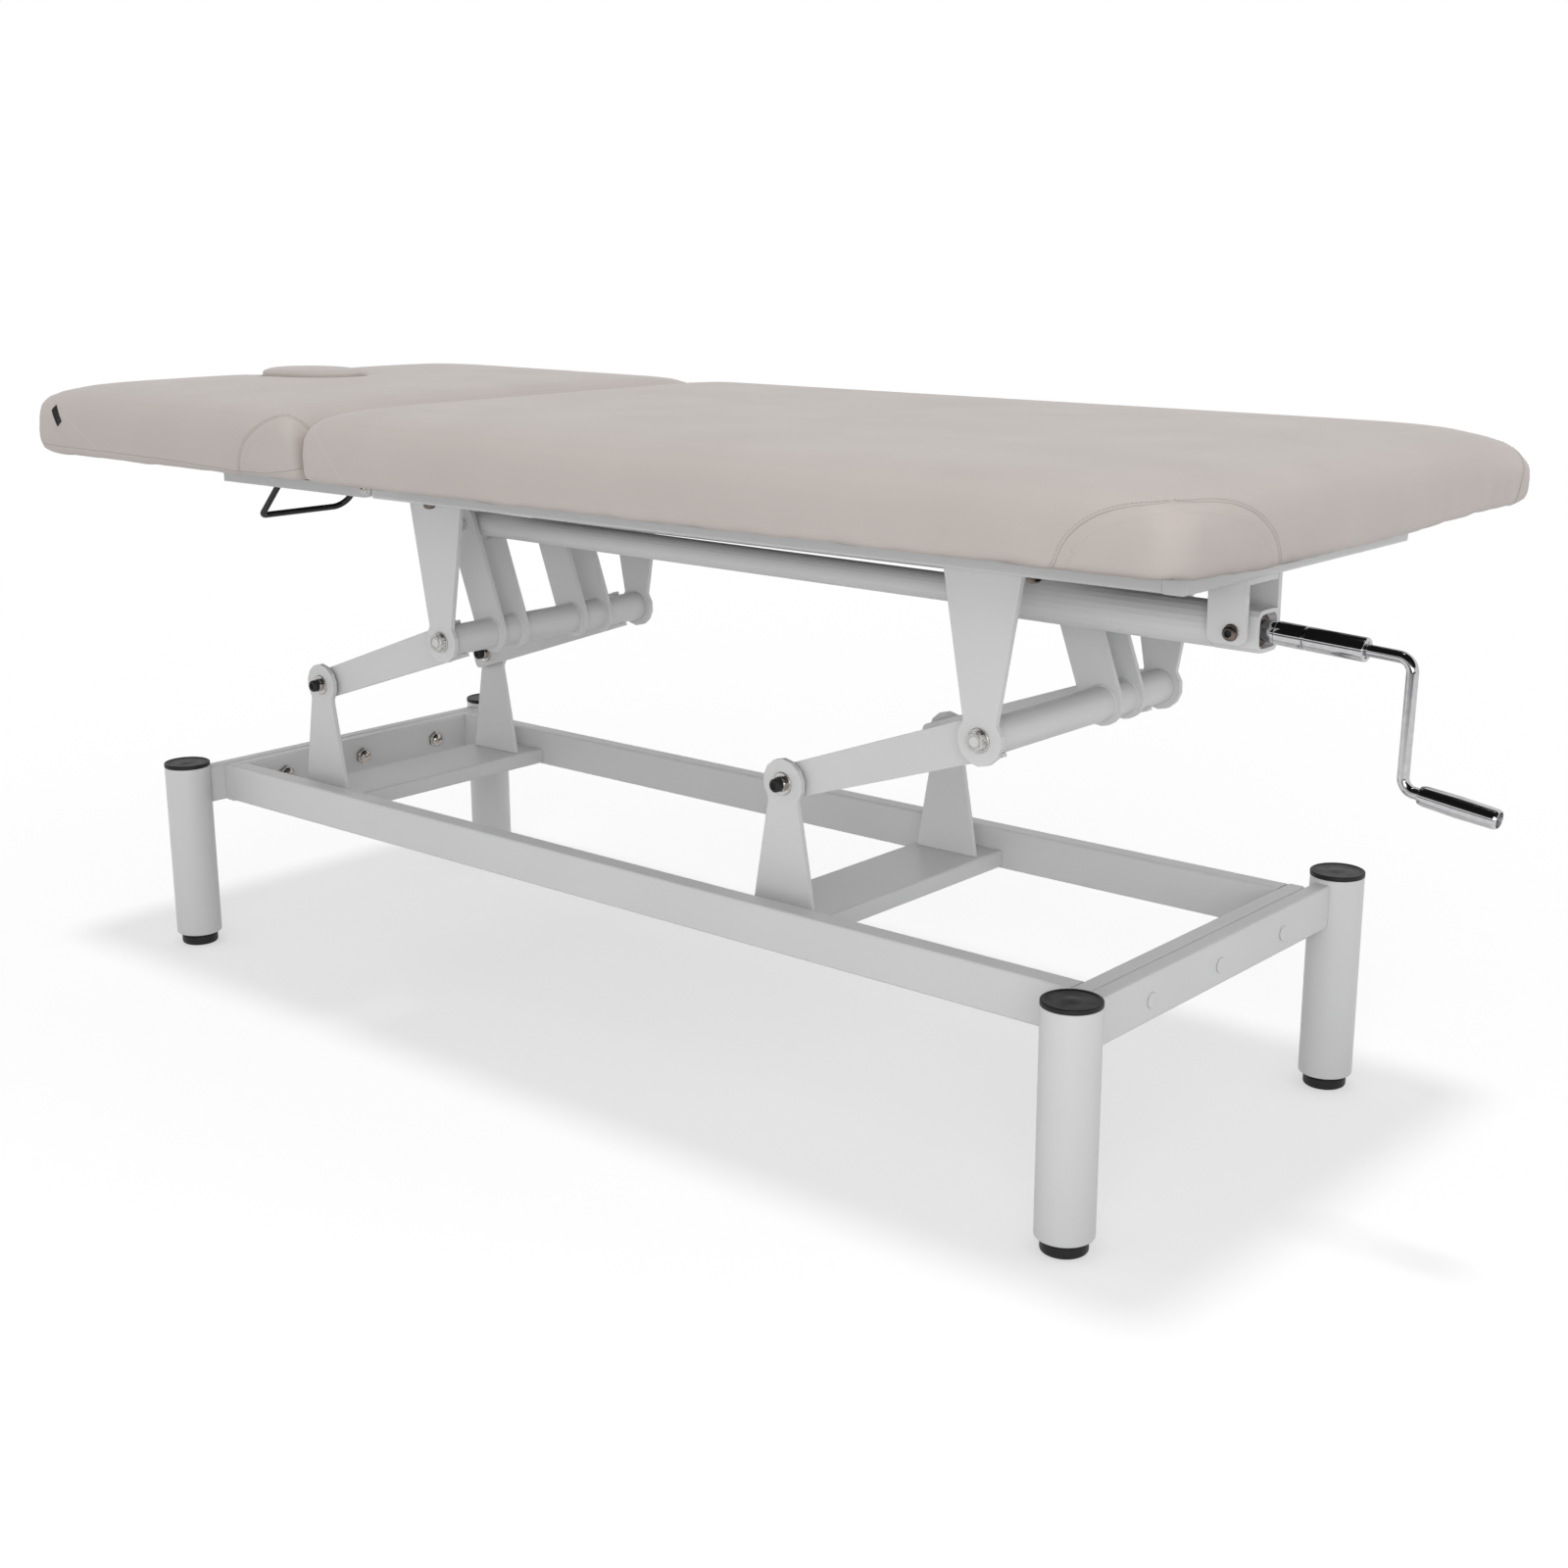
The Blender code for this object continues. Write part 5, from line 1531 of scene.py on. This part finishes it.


# Button heads with a socket: on the yoke, on the head's hinge and under the rails. A black disc on the floor of
# each socket is painted shade in the recess
buttonHead = {
    "radius": 0.0078,
    "height": 0.0064,
    "below": 0.0004,
    "skirt": 0.25,
    "crown": 0.42,
    "turn": 1.25,
    "steps": 9,
    "sides": 36,
    "socket": 0.0030,
    "deep": 0.0021,
    "mostSocket": 0.9,
    "taper": 0.95,
    # The black disc on the socket's floor: painted shade in the recess
    "plug": 0.93,
    "socketShadeEnds": (-0.0001, 0.0004),
    "socketShadeSides": 24,
    "washerEnds": (-0.0005, 0.0007, 0.0009),
    "washerEdge": 0.0004,
}
screws = {
    "yoke": {"size": 1.0, "metal": bronze, "washer": 0.0087, "wide": 1.2},
    "hinge": {"size": 0.62, "metal": nickel, "washer": 0.0068},
    "rail": {"size": 0.95, "metal": bronze},
}
screwPlaces = {"yokeSunk": 0.004, "railX": (-0.3205, 0.5489)}


def buttonShells(at, axis, size, metal, washer=0.0, wide=1.0):
    look = buttonHead
    radius, height, deep = (look[label] * size for label in ("radius", "height", "deep"))
    below, skirt, crown = look["below"], look["skirt"], look["crown"]
    dome = [(-below, 0.0), (-below, radius), (height * skirt, radius)]
    for turn in np.linspace(0, look["turn"], look["steps"])[1:]:
        rise = skirt + (1 - skirt) * math.sin(turn) / math.sin(look["turn"])
        dome.append((height * rise, radius * (crown + (1 - crown) * math.cos(turn))))
    socket = min(look["socket"] * size * wide, dome[-1][1] * look["mostSocket"])
    dome += [(height, socket), (height - deep, socket * look["taper"]), (height - deep, 0.0)]
    # A black disc on the floor of the socket: painted shade in the recess
    start, end = look["socketShadeEnds"]
    plug = [(start, 0.0), (start, socket * look["plug"]), (end, socket * look["plug"]), (end, 0.0)]
    floor = np.asarray(at, float) + np.asarray(axis, float) * (height - deep)
    shells = [
        (turned(dome, at, axis, look["sides"]), metal),
        (turned(plug, floor, axis, look["socketShadeSides"]), blackPlastic),
    ]
    if washer:
        start, edge, top = look["washerEnds"]
        ring = [(start, 0.0), (start, washer), (edge, washer), (top, washer - look["washerEdge"]), (top, 0.0)]
        shells.append((turned(ring, at, axis, look["sides"]), zinc))
    return shells


def makeScrews():
    pin, hinge = jointAt("jack_swing"), jointAt("head_tilt")
    yoke, (low, high) = corners("jack_yoke"), corners("side_rail_near")
    spots = {"yoke": [], "hinge": [], "rail": []}
    for cheek, way in zip(yoke, (-1, 1)):
        spots["yoke"].append(((pin[0], cheek[1] - way * screwPlaces["yokeSunk"], pin[2]), (0, way, 0)))
        spots["hinge"].append(((hinge[0], way * abs(low[1]), hinge[2]), (0, way, 0)))
    for x in screwPlaces["railX"]:
        for way in (-1, 1):
            spots["rail"].append(((x, way * abs(low[1] + high[1]) / 2, low[2]), (0, 0, -1)))
    for label, places in spots.items():
        shells = []
        for at, axis in places:
            shells += buttonShells(at, axis, **screws[label])
        piece(label + "_screws", shells, "top_frame")


# Weld beads: rippled rings round the torque tubes, on both sides of every lever of the forks
weldBead = {
    "forks": {"front": ((-0.070, 0.0195), (0.0755, 0.0225)), "rear": ((0.0755, 0.0225),)},
    "beside": 0.0034,
    "ring": 0.0192,
    "radius": 0.0014,
    "ripples": 42,
    "depth": 0.00025,
    "sides": 12,
    "steps": 150,
}


def beadGrid(centre):
    look = weldBead
    axis, across, up = squareTo(alongY)
    along = circle(look["steps"])[:, None]
    turn = circle(look["sides"])[None, :]
    thick = look["radius"] + look["depth"] * np.sin(along * look["ripples"]) * np.cos(turn)
    radius = (look["ring"] + thick * np.cos(turn))[..., None]
    outwards = np.cos(along)[..., None] * across + np.sin(along)[..., None] * up
    return np.asarray(centre, float) + radius * outwards + (thick * np.sin(turn))[..., None] * axis


def makeBeads():
    look = weldBead
    for row, forks in look["forks"].items():
        centre = middle(row + "_torque_tube")
        spots = [
            y + way * (half + side * look["beside"])
            for y, half in forks for way in (-1, 1) for side in (-1, 1)
        ]
        shells = np.stack([beadGrid((centre[0], y, centre[2])) for y in spots])
        manyShells("weld_beads_" + row, shells, paint, row + "_rocker", along=True)


# A dark ring of the crank's bearing in the mouth of the jack's housing
bearing = {
    "profile": (
        (0.0124, 0.0088), (0.0124, 0.0158), (0.0139, 0.0158), (0.0143, 0.0150), (0.0143, 0.0128),
        (0.0139, 0.0122), (0.0146, 0.0118), (0.0148, 0.0112), (0.0146, 0.0088), (0.0124, 0.0088),
    ),
    "sides": 48,
}


def makeBearing():
    ring = turned(bearing["profile"], *crankLine(), bearing["sides"])
    piece("bearing_ring", [(ring, bronze)], "jack")


# Painted caps over the ends of the bail's shaft, on the outer sides of the head arms
shaftCap = {
    "profile": ((0.0001, 0.0), (0.0001, 0.0058), (0.0005, 0.0058), (0.0009, 0.0054), (0.0009, 0.0)),
    "sides": 36,
}


def makeShaftCaps():
    shaft = corners("release_bail")[1] - bailShape["cadRadius"]
    shells = []
    for side, way in nearAndFar:
        low, high = corners("head_arm_" + side)
        at = (shaft[0], low[1] if way < 0 else high[1], shaft[2])
        shells.append((turned(shaftCap["profile"], at, (0, way, 0), shaftCap["sides"]), paint))
    piece("shaft_caps", shells, "head_section")


makeClosingPlates()
makeShaftCaps()
for end, way in ends:
    makeEndDiscs(end, way)
makeScrews()
makeBeads()
makeBearing()
say("details")

# Smooth round tubes in place of the many-sided ones
torqueTube = {"wall": 0.003, "sides": 64}


def makeTorqueTubes():
    for row in ("front", "rear"):
        node = row + "_torque_tube"
        centre, (low, high) = middle(node), corners(node)
        radius = (high[2] - low[2]) / 2
        wall = radius - torqueTube["wall"]
        profile = [(low[1], wall), (low[1], radius), (high[1], radius), (high[1], wall), (low[1], wall)]
        grid = turned(profile, (centre[0], 0, centre[2]), alongY, torqueTube["sides"])
        piece("torque_shaft_" + row, [(grid, paint)], row + "_rocker", (node,))


makeTorqueTubes()
say("tubes")

# Finishes of the CAD nodes that stay
finishes = {
    "paint": paint,
    "black_plastic": blackPlastic,
    "zinc": zinc,
    "chrome": chrome,
    "wire": blackWire,
    "board": darkBoard,
    "cover": cover,
}
for part in frame["record"]["subparts"]:
    for slot in nodes[part["node"]].material_slots:
        slot.material = finishes[part["material_slot"]]
say("finishes")

# Floor, backdrop and light; "Rise", "Fall", "Edge", "Up" and "Fade" are the limits of soft changes
studio = {
    "horizonLight": 0.80,
    "beltLight": 0.93,
    "zenithLight": 0.30,
    "beltRise": (0.0, 0.22),
    "beltFall": (0.34, 0.9),
    # Painted dark reflection: a patch of the world that only gloss sees
    "glossDarkTone": 0.02,
    "glossDarkWay": (0.0, -0.75, 0.66),
    "glossDarkEdge": (0.30, 0.42),
    "glossDarkUp": (0.12, 0.22),
    "floorHalf": 30.0,
    "floorTone": 0.60,
    "floorSeen": 0.62,
    "floorGlow": 0.45,
    "floorFade": (1.5, 4.0),
    # Painted dark reflection: the floor as gloss sees it behind the camera
    "reflectionDarkFade": (-1.7, -2.2),
    "reflectionDarkness": 0.93,
    "cardLow": (0.56, -0.40),
    "cardHigh": (1.02, -0.045),
    "cardLevel": 0.622,
    "cardTone": 0.012,
    "keyPlace": (2.6, -3.4, 1.3),
    "keyTarget": (0, 0, 0.4),
    "keySize": 2.4,
    "keyPower": 44.0,
    "overheadPlace": (0, 0, 4),
    "overheadLevel": 0.98,
    "overheadSpread": 0.13,
}
white = (1, 1, 1, 1)


def emptyTree(owner):
    owner.use_nodes = True
    owner.node_tree.nodes.clear()
    return owner.node_tree


def mixedShader(tree, share, one, two):
    return nodeIn(tree, "MixShader", {0: share, 1: one.outputs[0], 2: two.outputs[0]}).outputs[0]


# 1 for a ray that the camera, a gloss or a clear material sends out, 0 for scattered light
def seenDirectly(tree):
    path = nodeIn(tree, "LightPath")
    seen = math2(tree, "MAXIMUM", path.outputs["Is Camera Ray"], path.outputs["Is Glossy Ray"])
    return path, math2(tree, "MAXIMUM", seen, path.outputs["Is Transmission Ray"])


# The world is white behind the object and brighter near the horizon than overhead; gloss alone also
# meets a dark patch above and before the table, a painted dark reflection in the chrome
def makeWorld():
    look = studio
    world = bpy.data.worlds.new("studioWorld")
    scene.world = world
    tree = emptyTree(world)
    way = nodeIn(tree, "TexCoord").outputs["Generated"]
    up = nodeIn(tree, "SeparateXYZ", {0: way}).outputs["Z"]
    rising = ranged(tree, up, *look["beltRise"], look["horizonLight"], look["beltLight"])
    falling = ranged(tree, up, *look["beltFall"], look["beltLight"], look["zenithLight"])
    level = math2(tree, "MINIMUM", rising, falling)
    plain = nodeIn(tree, "Background", {"Color": white, "Strength": level})
    # The dark patch that only gloss sees: a painted dark reflection
    towardGlossDark = nodeIn(tree, "VectorMath", {0: way, 1: look["glossDarkWay"]}, operation="DOT_PRODUCT")
    dark = ranged(tree, towardGlossDark.outputs["Value"], *look["glossDarkEdge"], 0.0, 1.0)
    dark = math2(tree, "MINIMUM", dark, ranged(tree, up, *look["glossDarkUp"], 0.0, 1.0))
    path, seen = seenDirectly(tree)
    dark = math2(tree, "MULTIPLY", dark, path.outputs["Is Glossy Ray"])
    level = ranged(tree, dark, 0.0, 1.0, 1.0, look["glossDarkTone"])
    direct = nodeIn(tree, "Background", {"Color": white, "Strength": level})
    nodeIn(tree, "OutputWorld", {"Surface": mixedShader(tree, seen, plain, direct)})


# A flat sheet of the studio; returns the empty node tree of its material
def studioSheet(name, low, high, level):
    (x0, y0), (x1, y1) = low, high
    points = np.array(((x0, y0, level), (x1, y0, level), (x1, y1, level), (x0, y1, level)))
    mesh = meshFrom(name, points, np.array(((0, 1, 2, 3),)))
    made = linked(name, mesh)
    look = bpy.data.materials.new(name)
    mesh.materials.append(look)
    return emptyTree(look)


# White paper on the floor; gloss alone sees it darken behind the camera, a painted dark reflection
def makeFloor():
    look = studio
    half = look["floorHalf"]
    tree = studioSheet("studioFloor", (-half, -half), (half, half), 0)
    path, seen = seenDirectly(tree)
    tone = ranged(tree, seen, 0.0, 1.0, look["floorTone"], look["floorSeen"])
    plain = nodeIn(tree, "BsdfDiffuse", {"Color": tone})
    glow = math2(tree, "MULTIPLY", seen, look["floorGlow"])
    shine = nodeIn(tree, "Emission", {"Strength": glow})
    both = nodeIn(tree, "AddShader", {0: plain.outputs[0], 1: shine.outputs[0]})
    place = objectPlace(tree)
    far = nodeIn(tree, "VectorMath", {0: place}, operation="LENGTH").outputs["Value"]
    fade = ranged(tree, far, *look["floorFade"], 0.0, 1.0)
    nearer = nodeIn(tree, "SeparateXYZ", {0: place}).outputs["Y"]
    # Darker for gloss rays only behind the camera: a painted dark reflection
    beyond = ranged(tree, nearer, *look["reflectionDarkFade"], 0.0, look["reflectionDarkness"])
    beyond = math2(tree, "MULTIPLY", beyond, path.outputs["Is Glossy Ray"])
    bright = nodeIn(tree, "Emission", {"Strength": math2(tree, "SUBTRACT", 1.0, beyond)})
    nodeIn(tree, "OutputMaterial", {"Surface": mixedShader(tree, fade, both, bright)})


# A black card above the crank that only gloss can see: a painted dark reflection, the dark band of the chrome
def makeCard():
    tree = studioSheet("studioCard", studio["cardLow"], studio["cardHigh"], studio["cardLevel"])
    gloss = nodeIn(tree, "LightPath").outputs["Is Glossy Ray"]
    clear = nodeIn(tree, "BsdfTransparent")
    black = nodeIn(tree, "Emission", {"Strength": studio["cardTone"]})
    nodeIn(tree, "OutputMaterial", {"Surface": mixedShader(tree, gloss, clear, black)})


# A round lamp from the side of the camera
def keyLight():
    data = bpy.data.lights.new("keyLight", "AREA")
    data.shape = "DISK"
    data.size = studio["keySize"]
    data.energy = studio["keyPower"]
    made = linked("keyLight", data)
    made.location = studio["keyPlace"]
    way = Vector(studio["keyTarget"]) - Vector(studio["keyPlace"])
    made.rotation_euler = way.to_track_quat("-Z", "Y").to_euler()


# A wide lamp far above: it lights the covers and leaves a soft oblong shadow under the table
def overheadLight():
    data = bpy.data.lights.new("overheadLight", "SUN")
    data.energy = studio["overheadLevel"]
    data.angle = studio["overheadSpread"]
    linked("overheadLight", data).location = studio["overheadPlace"]


makeWorld()
makeFloor()
makeCard()
keyLight()
overheadLight()
scene.view_settings.view_transform = "Standard"
say("studio")
